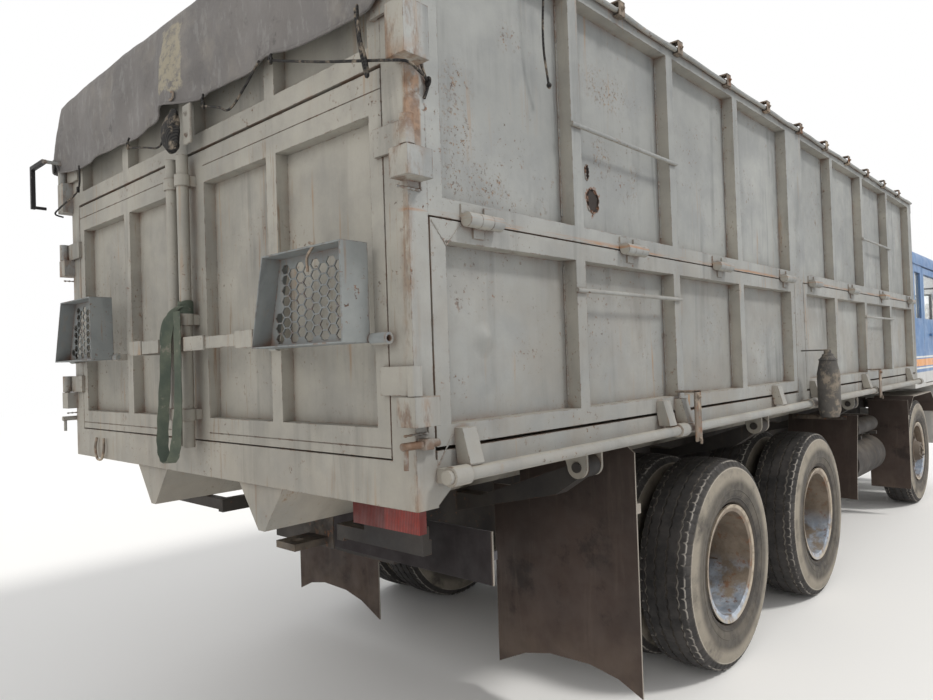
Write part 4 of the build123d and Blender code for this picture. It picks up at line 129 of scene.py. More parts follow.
class Shade:
    """A material under construction: a colour that gets coat on coat, and short calls for its nodes."""

    def __init__(self, name, dark=None, pale=None, *grain):
        self.name = name
        self.mat = bpy.data.materials.new(name)
        self.mat.use_nodes = True
        self.tree = self.mat.node_tree
        self.bsdf = self.tree.nodes["Principled BSDF"]
        coords = self.node("ShaderNodeTexCoord").outputs
        self.coord = coords["Object"]
        self.facing = self.parts(coords["Normal"])
        self.x, self.y, self.z = self.parts(self.coord)
        if dark:
            self.colour = self.mix(self.blots(0.35, 0.65, *grain), dark, pale)

    def node(self, kind, inputs=None, **props):
        return add_node(self.tree, kind, inputs, **props)

    def parts(self, vector):
        return self.node("ShaderNodeSeparateXYZ", {"Vector": vector}).outputs

    def scaled(self, x, y, z):
        return self.node("ShaderNodeMapping", {"Vector": self.coord, "Scale": (x, y, z)}).outputs[0]

    def noise(self, scale, detail=5, rough=0.6, vector=None, distortion=0.0):
        inputs = {"Vector": vector or self.coord, "Scale": scale, "Detail": detail, "Roughness": rough}
        return self.node("ShaderNodeTexNoise", inputs | {"Distortion": distortion}).outputs["Fac"]

    def wave(self, scale, axis="X", distortion=0.0):
        inputs = {"Vector": self.coord, "Scale": scale, "Distortion": distortion}
        return self.node("ShaderNodeTexWave", inputs, bands_direction=axis).outputs["Fac"]

    def ramp(self, value, low, high, out_low=0.0, out_high=1.0):
        """Rises smoothly from out_low to out_high while the value goes from low to high."""
        inputs = {"Value": value, "From Min": low, "From Max": high, "To Min": out_low, "To Max": out_high}
        return self.node("ShaderNodeMapRange", inputs, interpolation_type="SMOOTHSTEP").outputs[0]

    def blots(self, low, high, *grain):
        """Patches of noise, 0 below low and 1 above high."""
        return self.ramp(self.noise(*grain), low, high)

    def ahead(self, low, high):
        """A ramp over stations."""
        return self.ramp(self.x, low - MIDDLE, high - MIDDLE)

    def band(self, value, low, full, still_full, high):
        """1 between full and still_full, 0 outside low and high."""
        return self.times(self.ramp(value, low, full), self.ramp(value, high, still_full))

    def calc(self, operation, a, b=0.0):
        return self.node("ShaderNodeMath", {0: a, 1: b}, operation=operation).outputs[0]

    def times(self, first, *others):
        for value in others:
            first = self.calc("MULTIPLY", first, value)
        return first

    def most(self, a, b):
        return self.calc("MAXIMUM", a, b)

    def off(self, value, zero=0.0):
        """How far a value is from zero, or from another one."""
        return self.calc("ABSOLUTE", self.calc("SUBTRACT", value, zero) if zero else value)

    def length(self, a, b):
        return self.calc("SQRT", self.calc("ADD", self.times(a, a), self.times(b, b)))

    def mix(self, factor, a, b):
        a, b = [c if is_socket(c) else (*c, 1.0) for c in (a, b)]
        return self.node("ShaderNodeMix", {0: factor, 6: a, 7: b}, data_type="RGBA").outputs[2]

    def speckled(self, a, b, *grain):
        """Two colours side by side."""
        return self.mix(self.blots(0.4, 0.6, *grain), a, b)

    def coat(self, colour, *shares):
        """Another colour over the present one, where the product of the shares is high."""
        self.colour = self.mix(self.times(*shares), self.colour, colour)

    def tint(self, colour, share):
        """Multiplies the present colour."""
        inputs = {0: share, 6: self.colour, 7: (*colour, 1.0)}
        self.colour = self.node("ShaderNodeMix", inputs, data_type="RGBA", blend_type="MULTIPLY").outputs[2]

    def spot(self, x, z, reach_x, reach_z):
        """Falls from 1 at a place on the body's side, given by its station and height, to 0 at its reach."""
        dx = self.times(self.calc("SUBTRACT", self.x, x - MIDDLE), 1 / reach_x)
        dz = self.times(self.calc("SUBTRACT", self.z, z), 1 / reach_z)
        return self.calc("SUBTRACT", 1.0, self.length(dx, dz))

    def crevice(self, distance):
        """Near 1 in inner corners."""
        open_part = self.node("ShaderNodeAmbientOcclusion", {"Distance": distance}, samples=5).outputs["AO"]
        return self.calc("SUBTRACT", 1.0, open_part)

    def rounded(self, radius, samples=3):
        """The normal of a piece with its edges rounded."""
        return self.node("ShaderNodeBevel", {"Radius": radius}, samples=samples).outputs[0]

    def edge(self, radius):
        """Near 1 along edges, from how far a rounded normal leans away from the true one."""
        true = self.node("ShaderNodeNewGeometry").outputs["Normal"]
        inputs = {0: self.rounded(radius, 4), 1: true}
        lean = self.node("ShaderNodeVectorMath", inputs, operation="DOT_PRODUCT").outputs["Value"]
        return self.ramp(lean, 0.995, 0.82)

    def bump(self, height, strength, distance, normal=None):
        inputs = {"Height": height, "Strength": strength, "Distance": distance}
        if normal is not None:
            inputs["Normal"] = normal
        return self.node("ShaderNodeBump", inputs).outputs[0]

    def uneven(self, scale, detail, low, high):
        """Roughness that varies between two values."""
        return self.ramp(self.noise(scale, detail), 0.3, 0.7, low, high)

    def finish(self, roughness, normal, specular=0.5, metallic=0.0):
        if isinstance(roughness, tuple):
            roughness = self.uneven(*roughness)
        values = {"Base Color": self.colour, "Roughness": roughness, "Normal": normal, "Metallic": metallic}
        for key, value in values.items():
            if is_socket(value):
                self.tree.links.new(value, self.bsdf.inputs[key])
            else:
                self.bsdf.inputs[key].default_value = value
        self.bsdf.inputs["Specular IOR Level"].default_value = specular
        MATERIALS[self.name] = self.mat


RUST_DARK = (0.060, 0.026, 0.014)
RUST = (0.185, 0.075, 0.030)
RUST_STAIN = (0.30, 0.185, 0.10)
DUST = (0.40, 0.33, 0.25)


def darker(colour, share):
    return [c * share for c in colour]


def weathered_paint(name, fresh, faded, shaded, stain, specks, waviness, rough, tints_and_shade=None, dust=0.30):
    """Old paint: fading, grime that runs down, rust specks, painted shade and rust in the inner corners, and
    chipped edges.
    """
    s = Shade(name)
    s.colour = s.mix(s.blots(0.35, 0.68, 1.1, 4), fresh, faded)
    s.coat(shaded, s.blots(0.35, 0.70, 5.5, 6, 0.65), 0.45)
    runs_down = s.blots(0.48, 0.74, 1.0, 6, 0.62, s.scaled(9, 9, 0.8), 0.6)
    s.coat(darker(shaded, 0.60), runs_down, s.blots(0.35, 0.62, 2.3, 4), 0.60)
    if tints_and_shade:
        tints_and_shade(s)
    stain_runs = s.blots(0.56, 0.72, 1.0, 7, 0.66, s.scaled(27, 27, 1.5), 0.4)
    s.coat(RUST_STAIN, stain_runs, s.blots(0.45, 0.66, 1.7, 3), stain)
    spotted = s.blots(0.46, 0.62, 2.6, 4)
    spots = s.most(s.times(s.blots(0.605, 0.67, 55, 4, 0.75), spotted, specks),
                   s.times(s.blots(0.635, 0.68, 13, 7, 0.75), spotted, specks))
    s.coat(s.speckled(RUST_DARK, RUST, 80, 3), spots)
    # Inner corners: painted shade darkens them, and rust gathers in them.
    corner = s.ramp(s.crevice(0.05), 0.30, 0.80)
    s.coat((0.13, 0.115, 0.10), corner, 0.45)
    s.coat(RUST, corner, s.blots(0.38, 0.62, 9, 6, 0.7), stain, 0.75)
    s.coat(s.speckled(RUST, RUST_DARK, 60, 3), s.edge(0.006), s.blots(0.50, 0.60, 22, 5, 0.7), specks, 0.85)
    s.coat(DUST, s.ramp(s.z, 1.55, 0.95), s.blots(0.3, 0.7, 4, 5), dust)
    s.coat(darker(shaded, 0.7), s.noise(120, 3), 0.12)
    normal = s.bump(s.noise(2.2, 2, 0.4), waviness, 0.05, s.rounded(0.003))
    grain = s.calc("ADD", s.times(s.noise(170, 3), 0.35), s.times(spots, -1.0))
    return s, s.uneven(7, 5, rough - 0.08, rough + 0.14), s.bump(grain, 0.35, 0.0012, normal)


# Rusty places and eaten holes on the right upper side: station, height and reach of each
RUST_PLACES = [
    (0.27, 2.41, 0.07, 0.06), (0.27, 2.24, 0.07, 0.12), (0.26, 2.11, 0.06, 0.06), (0.50, 2.62, 0.03, 0.05),
    (0.38, 2.11, 0.12, 0.07), (1.14, 2.60, 0.16, 0.08), (1.08, 2.32, 0.07, 0.09), (1.33, 2.27, 0.04, 0.07),
]
HOLES = [(1.012, 2.146, 0.040, 0.048), (0.975, 2.250, 0.011, 0.030)]
SEAM_HEIGHT = 1.963


def side_skylight_and_shade(s):
    """The sides get a colder tint than the rear, which is painted skylight, and are darker under the seam; the
    steps get painted bluish shade inside.
    """
    side = s.times(s.ramp(s.off(s.facing[1]), 0.4, 0.8), s.ramp(s.off(s.y), 1.15, 1.17))
    # Painted skylight: the side faces are tinted colder.
    s.tint((0.90, 0.97, 1.08), side)
    s.coat((0.25, 0.22, 0.18), side, s.ramp(s.z, 2.10, 1.90), s.blots(0.3, 0.7, 3.1, 5), 0.4)
    # Painted shade: the insides of the steps are tinted bluish and darker.
    step_inside_shade = s.times(s.ahead(-0.026, -0.032), s.ramp(s.off(s.y), 0.612, 0.618))
    s.tint((0.66, 0.74, 0.84), s.times(step_inside_shade, s.band(s.z, 1.606, 1.612, 1.892, 1.896)))


def body_paint():
    s, roughness, normal = weathered_paint(
        "body_paint", (0.300, 0.286, 0.250), (0.390, 0.370, 0.322), (0.200, 0.197, 0.185), 1.0, 1.0, 0.20,
        0.62, side_skylight_and_shade)
    right_sheet = s.ramp(s.y, -1.16, -1.18)
    near = s.spot(*RUST_PLACES[0])
    for spot in RUST_PLACES[1:]:
        near = s.most(near, s.spot(*spot))
    patchy = s.times(s.ramp(near, -0.5, 0.7), s.blots(0.555, 0.60, 85, 5, 0.75), right_sheet)
    s.coat(s.speckled(RUST_DARK, (0.22, 0.13, 0.065), 90, 3), patchy, 0.9)
    ragged = s.calc("ADD", s.most(s.spot(*HOLES[0]), s.spot(*HOLES[1])),
                    s.ramp(s.noise(26, 5, 0.7), 0.2, 0.8, -0.55, 0.55))
    hole_and_its_shade = s.times(s.ramp(ragged, 0.04, 0.14), right_sheet)
    s.coat(RUST, s.ramp(ragged, -0.22, 0.05), right_sheet)
    # Painted shade: the holes are near-black for the dark inside behind them.
    s.coat((0.018, 0.011, 0.008), hole_and_its_shade)
    seam = s.band(s.z, SEAM_HEIGHT + 0.001, SEAM_HEIGHT + 0.004, SEAM_HEIGHT + 0.006, SEAM_HEIGHT + 0.020)
    outward = s.ramp(s.off(s.y), 1.20, 1.24)
    s.coat((0.33, 0.165, 0.075), seam, s.blots(0.42, 0.60, 1.0, 5, 0.7, s.scaled(3.2, 6, 40)), outward, 0.8)
    post_runs = s.blots(0.47, 0.62, 1.0, 6, 0.72, s.scaled(12, 12, 4.0))
    s.coat(s.speckled((0.22, 0.135, 0.082), (0.12, 0.058, 0.030), 30, 4),
           s.ahead(0.03, -0.012), outward, post_runs, 0.72)
    rear_runs = s.times(s.blots(0.57, 0.70, 1.0, 7, 0.7, s.scaled(34, 34, 2.2)), s.ahead(0.12, 0.06))
    s.coat((0.205, 0.115, 0.058), rear_runs, s.blots(0.42, 0.60, 2.1, 4), 0.75)
    on_post = s.times(s.ramp(s.y, -1.236, -1.246), s.ahead(0.060, 0.050))
    s.coat(s.speckled((0.27, 0.155, 0.085), (0.15, 0.075, 0.038), 25, 4),
           on_post, s.band(s.z, 2.10, 2.20, 2.34, 2.43), s.blots(0.40, 0.56, 8, 6, 0.72), 0.8)
    bolt_face = s.times(s.ahead(0.085, 0.080), s.ramp(s.y, -1.2515, -1.2535))
    s.coat((0.115, 0.060, 0.032), bolt_face, s.band(s.z, 1.262, 1.266, 1.346, 1.350),
           s.blots(0.3, 0.55, 18, 5), 0.8)
    crank = s.times(s.ahead(-0.055, -0.058), s.ramp(s.y, 1.255, 1.258), s.ramp(s.z, 2.400, 2.404))
    s.coat((0.020, 0.019, 0.020), crank, s.blots(0.80, 0.62, 40, 4))
    s.finish(roughness, s.bump(hole_and_its_shade, 0.8, -0.01, normal), 0.35)


def cab_paint():
    """Blue above, pale below, with an orange band between two pale lines."""
    s, *surface = weathered_paint(
        "cab_paint", (0.065, 0.17, 0.37), (0.11, 0.22, 0.41), (0.045, 0.12, 0.28), 0.25, 0.55, 0.06, 0.42)
    worn = s.blots(0.70, 0.60, 14, 5)
    s.coat((0.66, 0.29, 0.085), s.band(s.z, 1.358, 1.362, 1.428, 1.432), worn)
    lines = s.most(s.band(s.z, 1.330, 1.333, 1.347, 1.350), s.band(s.z, 1.440, 1.443, 1.457, 1.460))
    s.coat((0.62, 0.62, 0.60), lines, worn)
    s.coat((0.46, 0.46, 0.45), s.ramp(s.z, 1.302, 1.298))
    s.finish(*surface)


def cab_lower_paint():
    s, *surface = weathered_paint(
        "cab_lower_paint", (0.46, 0.46, 0.45), (0.54, 0.53, 0.50), (0.36, 0.36, 0.35), 0.4, 0.6, 0.05, 0.5)
    s.finish(*surface, 0.45)


def frame_paint():
    s, *surface = weathered_paint(
        "frame_paint", (0.030, 0.028, 0.028), (0.048, 0.043, 0.040), (0.020, 0.019, 0.019), 0.30, 0.7, 0.02,
        0.66, dust=0.06)
    s.coat((0.16, 0.13, 0.10), s.ramp(s.facing[2], 0.2, 0.9), s.blots(0.3, 0.6, 9, 5), 0.35)
    s.finish(*surface, 0.3)


def cast_parts():
    s = Shade("cast_parts", (0.034, 0.031, 0.030), (0.085, 0.067, 0.052), 8, 6, 0.7)
    s.coat(RUST, s.blots(0.55, 0.68, 21, 6, 0.7), 0.8)
    s.coat(DUST, s.blots(0.45, 0.65, 3, 4), 0.28)
    # Painted shade: darker in the crevices.
    s.coat((0.02, 0.018, 0.016), s.ramp(s.crevice(0.04), 0.35, 0.9, 0.0, 0.6))
    s.finish((18, 4, 0.52, 0.86), s.bump(s.noise(95, 6, 0.75), 0.55, 0.0025, s.rounded(0.004)), 0.4, 0.15)


def tyre_rubber():
    """Dusty walls, a pale outer band, rubbed shoulder lines and brown dust in the grooves."""
    s = Shade("tyre_rubber", (0.024, 0.023, 0.023), (0.050, 0.046, 0.044), 7, 6, 0.7)
    in_plane = s.node("ShaderNodeCombineXYZ", {"X": s.x, "Z": s.z}).outputs[0]
    radius = s.node("ShaderNodeVectorMath", {0: in_plane}, operation="LENGTH").outputs["Value"]
    wall = s.band(radius, 0.300, 0.335, 0.462, 0.480)
    s.coat((0.150, 0.132, 0.108), wall, s.blots(0.28, 0.60, 4.5, 6, 0.7), 0.70)
    outer_wall = s.band(radius, 0.385, 0.432, 0.462, 0.474)
    s.coat((0.335, 0.300, 0.245), outer_wall, s.blots(0.25, 0.55, 6, 5, 0.7), 0.75)
    dark_ring = s.band(radius, 0.352, 0.368, 0.388, 0.404)
    s.coat((0.085, 0.078, 0.070), dark_ring, s.blots(0.35, 0.6, 3.5, 4), 0.45)
    bead = s.ramp(radius, 0.318, 0.300)
    s.coat((0.060, 0.050, 0.042), bead, 0.75)
    shoulder = s.band(radius, 0.4635, 0.4655, 0.4685, 0.4705)
    s.coat((0.46, 0.42, 0.36), shoulder, s.blots(0.3, 0.5, 5, 4), 0.65)
    tread_edge = s.band(radius, 0.4965, 0.4985, 0.5015, 0.5035)
    s.coat((0.42, 0.39, 0.35), tread_edge, s.blots(0.42, 0.55, 9, 5, 0.7), 0.6)
    hollow = s.times(s.ramp(s.crevice(0.02), 0.15, 0.6), s.blots(0.35, 0.6, 11, 5))
    s.coat((0.20, 0.165, 0.125), hollow, s.ramp(radius, 0.49, 0.47, 0.25, 0.7))
    s.coat((0.115, 0.100, 0.088), s.blots(0.55, 0.7, 1.0, 6, 0.7, s.scaled(40, 9, 40)), 0.30)
    rings = s.times(s.calc("SINE", s.times(radius, 900.0)), s.band(radius, 0.315, 0.325, 0.345, 0.352), 0.6)
    s.finish((24, 4, 0.66, 0.92), s.bump(s.calc("ADD", rings, s.noise(150, 4, 0.7)), 0.40, 0.0016), 0.35)


# Stations of the axles, and the height of all of them, which is a tyre's radius
REAR_AXLE, MIDDLE_AXLE, FRONT_AXLE = AXLE_STATIONS = (2.150, 3.520, 6.970)
AXLE_HEIGHT = TYRE_RADIUS = 0.513


def rim_steel():
    """Brown dust over the upper half, bluish bare steel low down, a pale lip and painted shade in the corners.
    """
    s = Shade("rim_steel", (0.145, 0.112, 0.082), (0.235, 0.190, 0.145), 6, 6, 0.7)
    across = [s.off(s.x, station - MIDDLE) for station in AXLE_STATIONS]
    nearest = s.calc("MINIMUM", s.calc("MINIMUM", across[0], across[1]), across[2])
    radius = s.length(nearest, s.calc("SUBTRACT", s.z, AXLE_HEIGHT))
    bare = s.times(s.blots(0.40, 0.52, 3.4, 5, 0.7), s.ramp(s.z, 0.50, 0.36), s.ramp(radius, 0.20, 0.235))
    s.coat(s.mix(s.blots(0.35, 0.65, 9, 5, 0.7), (0.30, 0.35, 0.42), (0.50, 0.55, 0.62)), bare)
    s.coat(RUST, s.blots(0.55, 0.66, 19, 6, 0.75), 0.75)
    s.coat(RUST_DARK, s.blots(0.62, 0.7, 36, 6, 0.75), 0.8)
    s.coat((0.47, 0.405, 0.315), s.ramp(radius, 0.266, 0.274), s.blots(0.30, 0.55, 14, 5, 0.7), 0.85)
    s.coat((0.055, 0.038, 0.026), s.ramp(radius, 0.235, 0.17), 0.72)
    # Painted shade in the corners.
    s.coat((0.05, 0.036, 0.026), s.ramp(s.crevice(0.06), 0.20, 0.80, 0.0, 0.7))
    normal = s.bump(s.noise(120, 5, 0.7), 0.35, 0.0014, s.rounded(0.003))
    s.finish((15, 4, 0.40, 0.78), normal, 0.5, s.times(bare, 0.65))


def flap_rubber():
    """Brown dusty rubber with black smears and pale cut edges; the sheet under the rear gets a painted bluish
    shade.
    """
    s = Shade("flap_rubber", (0.034, 0.024, 0.020), (0.060, 0.042, 0.035), 1.4)
    s.coat((0.013, 0.010, 0.009), s.blots(0.54, 0.68, 4.6, 7, 0.7), 0.7)
    s.coat((0.105, 0.080, 0.064), s.blots(0.52, 0.74, 1.0, 6, 0.65, s.scaled(5, 14, 1.2), 0.5), 0.35)
    s.coat((0.15, 0.115, 0.088), s.ramp(s.z, 0.55, 0.10), s.blots(0.3, 0.65, 6, 6), 0.45)
    s.coat((0.33, 0.30, 0.26), s.ramp(s.off(s.facing[0]), 0.5, 0.3), 0.8)
    s.coat((0.30, 0.27, 0.235), s.edge(0.004), 0.4)
    # Painted shade under the rear: the sheet there is tinted darker and bluish.
    s.tint((0.34, 0.37, 0.47), s.times(s.ahead(0.75, 0.65), s.ramp(s.y, -1.026, -1.022)))
    waves = s.bump(s.noise(3, 2), 0.25, 0.05)
    s.finish((9, 5, 0.58, 0.88), s.bump(s.noise(210, 4, 0.7), 0.3, 0.001, waves), 0.3)


def cover_fabric():
    """Grey stained cloth with a pale sewn patch in the middle of the tail."""
    s = Shade("cover_fabric")
    s.colour = s.mix(s.blots(0.32, 0.68, 1.2, 6, 0.65), (0.112, 0.105, 0.102), (0.178, 0.166, 0.158))
    s.coat((0.225, 0.205, 0.180), s.blots(0.52, 0.66, 2.6, 7, 0.7), 0.55)
    s.coat((0.27, 0.265, 0.255), s.blots(0.53, 0.62, 1.0, 7, 0.75, s.scaled(9, 26, 9)), 0.38)
    s.coat((0.060, 0.055, 0.052), s.blots(0.58, 0.70, 7.5, 7, 0.75), 0.65)
    frayed = s.ramp(s.noise(16, 5, 0.7), 0.2, 0.8, -0.018, 0.018)
    across = s.ramp(s.calc("ADD", s.off(s.y, -0.002), frayed), 0.078, 0.066)
    upright = s.band(s.calc("ADD", s.z, frayed), 2.625, 2.640, 2.87, 2.885)
    s.coat((0.33, 0.295, 0.215), across, s.ahead(0.0, -0.02), upright, s.blots(0.36, 0.56, 31, 6, 0.75), 0.85)
    weave = s.most(s.wave(160.0, "X", 0.4), s.wave(160.0, "Y", 0.4))
    s.coat((0.28, 0.28, 0.28), weave, 0.10)
    s.finish((6, 5, 0.62, 0.88), s.bump(weave, 0.22, 0.0012, s.bump(s.noise(11), 0.5, 0.012)), 0.3)


def webbing():
    s = Shade("webbing", (0.045, 0.062, 0.050), (0.095, 0.110, 0.082), 9)
    ribs = s.wave(90.0, "Z")
    s.coat((0.15, 0.16, 0.125), ribs, 0.35)
    s.coat((0.22, 0.20, 0.165), s.blots(0.56, 0.68, 26, 6, 0.7), 0.7)
    s.finish(0.85, s.bump(ribs, 0.5, 0.0015, s.bump(s.noise(180, 3), 0.3, 0.001)), 0.25)


def dull_plastic(name, dark, pale, rough):
    s = Shade(name, dark, pale, 5, 6, 0.7)
    scratches = s.blots(0.60, 0.70, 1.0, 8, 0.8, s.scaled(60, 60, 8))
    s.coat([c * 2.6 for c in pale], scratches, 0.5)
    s.coat(DUST, s.blots(0.5, 0.66, 12, 6, 0.7), 0.45)
    s.finish((12, 4, rough - 0.1, rough + 0.15), s.bump(s.noise(140, 4), 0.25, 0.001, s.rounded(0.003)), 0.45)


def lamp_lens(name, deep, bright, rough, transmission):
    s = Shade(name)
    ribs = s.wave(40.0, "Y")
    s.colour = s.mix(s.ramp(ribs, 0.2, 0.8), deep, bright)
    s.tint((0.45, 0.42, 0.42), s.ramp(s.off(s.y), 0.752, 0.748))
    s.coat([c * 0.5 + 0.015 for c in deep], s.blots(0.42, 0.68, 11, 6, 0.7), 0.55)
    s.bsdf.inputs["Transmission Weight"].default_value = transmission
    s.finish((20, 5, rough, rough + 0.25), s.bump(ribs, 0.35, 0.002))


def window_glass():
    s = Shade("window_glass")
    s.colour = s.mix(s.blots(0.3, 0.7, 3), (0.80, 0.85, 0.85), (0.66, 0.70, 0.68))
    s.bsdf.inputs["Transmission Weight"].default_value = 0.9
    s.bsdf.inputs["IOR"].default_value = 1.45
    film = s.times(s.blots(0.45, 0.75, 5, 6, 0.7), 0.28)
    s.finish(s.ramp(film, 0.0, 0.28, 0.03, 0.24), s.bump(s.noise(1.5, 2), 0.04, 0.01))


def bright_steel(name, dark, pale, rough, rusty):
    s = Shade(name)
    lines = s.noise(1.0, 5, 0.7, s.scaled(90, 90, 4))
    s.colour = s.mix(s.ramp(lines, 0.35, 0.65), dark, pale)
    s.coat(RUST, s.blots(0.50, 0.64, 17, 6, 0.7), rusty)
    s.coat(DUST, s.blots(0.52, 0.66, 6, 6, 0.7), rusty)
    normal = s.bump(lines, 0.2, 0.0006, s.rounded(0.002))
    s.finish((21, 4, rough, rough + 0.3), normal, 0.5, 0.85 - 0.6 * rusty)


def rope_fibre():
    s = Shade("rope")
    twist = s.wave(55.0, "DIAGONAL", 1.5)
    s.colour = s.mix(twist, (0.012, 0.012, 0.013), (0.040, 0.038, 0.036))
    s.coat(DUST, s.blots(0.5, 0.65, 25, 5, 0.7), 0.5)
    s.finish(0.85, s.bump(twist, 0.6, 0.002, s.bump(s.noise(240, 3), 0.3, 0.0008)), 0.25)


def seat_cloth():
    s = Shade("seat_cloth", (0.060, 0.058, 0.062), (0.105, 0.100, 0.100), 5)
    ribs = s.wave(26.0, "Y")
    s.coat((0.16, 0.145, 0.13), ribs, 0.4)
    s.coat(DUST, s.blots(0.5, 0.66, 11, 6, 0.7), 0.5)
    weave = s.node("ShaderNodeTexVoronoi", {"Vector": s.coord, "Scale": 420}).outputs["Distance"]
    s.finish((9, 4, 0.78, 0.95), s.bump(s.calc("ADD", ribs, weave), 0.45, 0.0015), 0.25)


def mirror_glass():
    s = Shade("mirror_glass")
    film = s.blots(0.4, 0.7, 8, 6, 0.7)
    s.colour = s.mix(film, (0.78, 0.80, 0.82), (0.55, 0.53, 0.50))
    s.finish(s.ramp(film, 0.0, 1.0, 0.04, 0.30), s.bump(s.noise(2, 2), 0.05, 0.004), 0.5, 0.9)


for make in (rope_fibre, seat_cloth, mirror_glass, body_paint, cab_paint, cab_lower_paint, frame_paint,
             cast_parts, tyre_rubber, rim_steel, flap_rubber, cover_fabric, webbing, window_glass):
    make()
dull_plastic("can_plastic", (0.042, 0.040, 0.038), (0.085, 0.078, 0.070), 0.7)
dull_plastic("interior_trim", (0.045, 0.042, 0.040), (0.085, 0.080, 0.074), 0.65)
lamp_lens("tail_lamp_lens", (0.145, 0.010, 0.006), (0.30, 0.026, 0.013), 0.34, 0.0)
lamp_lens("head_lamp_lens", (0.62, 0.64, 0.65), (0.86, 0.88, 0.88), 0.10, 0.4)
bright_steel("bare_steel", (0.11, 0.090, 0.072), (0.23, 0.185, 0.145), 0.50, 0.85)
bright_steel("polished_rod", (0.48, 0.48, 0.49), (0.64, 0.64, 0.65), 0.14, 0.05)

for part in frame["record"]["subparts"]:
    solid = frame["nodes"][part["node"]]
    material = MATERIALS[part["material_slot"]]
    for slot in solid.material_slots:
        slot.material = material
    if not solid.material_slots:
        solid.data.materials.append(material)


# Mesh pieces
def turns(count, closed=False):
    """Angles round a full turn; a closed ring ends at its start."""
    return [math.tau * k / count for k in range(count + closed)]


def ripple(x, y, z, scale, size):
    return size * noise.noise(Vector((x * scale, y * scale, z * scale)))


def smooth_path(points, count):
    """Points along a rounded curve through the given places."""
    p = [at(*point) for point in points]
    p = [p[0]] + p + [p[-1]]
    out = []
    for a, b, c, d in zip(p, p[1:], p[2:], p[3:]):
        for k in range(count):
            t = k / count
            square, cube = 2 * a - 5 * b + 4 * c - d, 3 * b - a - 3 * c + d
            out.append(0.5 * ((2 * b) + (c - a) * t + square * t * t + cube * t ** 3))
    return out + [p[-1]]


def beside(side, low, high):
    """Both corners of a block on one side of the truck, from those of the left one."""
    near, far = sorted((side * low[1], side * high[1]))
    return at(low[0], near, low[2]), at(high[0], far, high[2])


class Forge:
    """Collects the geometry of one piece, then makes it an object that rides on a body."""

    def __init__(self):
        self.mesh = bmesh.new()

    def grid(self, rows, close_rows=False, close_columns=False):
        """A skin over rows of points."""
        made = [[self.mesh.verts.new(p) for p in row] for row in rows]
        n, m = len(made), len(made[0])
        for i in range(n if close_rows else n - 1):
            for j in range(m if close_columns else m - 1):
                a, b, k = made[i], made[(i + 1) % n], (j + 1) % m
                self.mesh.faces.new((a[j], a[k], b[k], b[j]))
        return made

    def tube(self, rings, cap=True):
        """A skin over closed rings, with its two ends shut."""
        made = self.grid(rings, close_columns=True)
        if cap:
            self.mesh.faces.new(list(reversed(made[0])))
            self.mesh.faces.new(made[-1])

    def slab(self, low, high, chamfer=0.002):
        """A plate between two corners with chamfered edges."""
        c = min(chamfer, 0.45 * min(high - low))
        rings = []
        for x, inset in ((low.x, c), (low.x + c, 0.0), (high.x - c, 0.0), (high.x, c)):
            y0, y1, z0, z1 = low.y + inset, high.y - inset, low.z + inset, high.z - inset
            k = c if inset == 0.0 else 0.3 * c
            rings.append([(x, y0 + k, z0), (x, y1 - k, z0), (x, y1, z0 + k), (x, y1, z1 - k),
                          (x, y1 - k, z1), (x, y0 + k, z1), (x, y0, z1 - k), (x, y0, z0 + k)])
        self.tube(rings)

    def sweep(self, points, radius, sides=8, flat=1.0, rough=0.0):
        """A rod along points; radius may be a list, flat squeezes it and rough makes it lumpy."""
        radii = radius if hasattr(radius, "__len__") else [radius] * len(points)
        side = (points[1] - points[0]).normalized().orthogonal().normalized()
        rows = []
        for i, point in enumerate(points):
            ahead = points[min(i + 1, len(points) - 1)] - points[max(i - 1, 0)]
            if ahead.length > 1e-9:
                ahead.normalize()
                side = (side - ahead * side.dot(ahead)).normalized()
            across = ahead.cross(side)
            row = []
            for k, angle in enumerate(turns(sides)):
                reach = radii[i] * (1 + rough * noise.noise(Vector((i * 1.7, k * 2.3, point.x * 40))))
                row.append(point + side * math.cos(angle) * reach + across * math.sin(angle) * reach * flat)
            rows.append(row)
        self.tube(rows)

    def turned(self, centre, axis, outline, sides=24, cap=True):
        """A turned form from (distance along axis, radius) pairs."""
        axis = Vector(axis).normalized()
        side = axis.orthogonal().normalized()
        across = axis.cross(side)
        self.tube([[centre + axis * along + side * math.cos(a) * radius + across * math.sin(a) * radius
                    for a in turns(sides)] for along, radius in outline], cap)

    def bolt(self, centre, axis, size=0.009):
        """Washer, hexagon head and the end of its thread."""
        for outline, sides in ((((0, 1.35), (0.22, 1.35), (0.25, 1.3)), 16),
                               (((0.2, 1), (0.85, 1), (0.95, 0.86)), 6),
                               (((0.9, 0.5), (1.35, 0.5), (1.45, 0.4)), 10)):
            self.turned(centre, axis, [(size * along, size * radius) for along, radius in outline], sides)

    def bead(self, start, end, radius=0.003):
        """A weld bead."""
        count = max(4, int((end - start).length / 0.006))
        points = [start.lerp(end, i / count) for i in range(count + 1)]
        radii = [radius * (1.0 + 0.35 * math.sin(i * 2.1)) for i in range(count + 1)]
        self.sweep(points, radii, 6, rough=0.4)

    def weld(self, distance):
        bmesh.ops.remove_doubles(self.mesh, verts=self.mesh.verts, dist=distance)

    def data(self, name, material, angle):
        """The finished mesh, smooth but for edges sharper than the angle."""
        bmesh.ops.recalc_face_normals(self.mesh, faces=self.mesh.faces)
        data = bpy.data.meshes.new(name)
        self.mesh.to_mesh(data)
        self.mesh.free()
        data.materials.append(MATERIALS[material])
        data.shade_smooth()
        data.set_sharp_from_angle(angle=math.radians(angle))
        return data

    def object(self, name, material, body, slot=None, angle=35):
        obj = place(name, self.data(name, material, angle))
        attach(obj, body)
        return obj


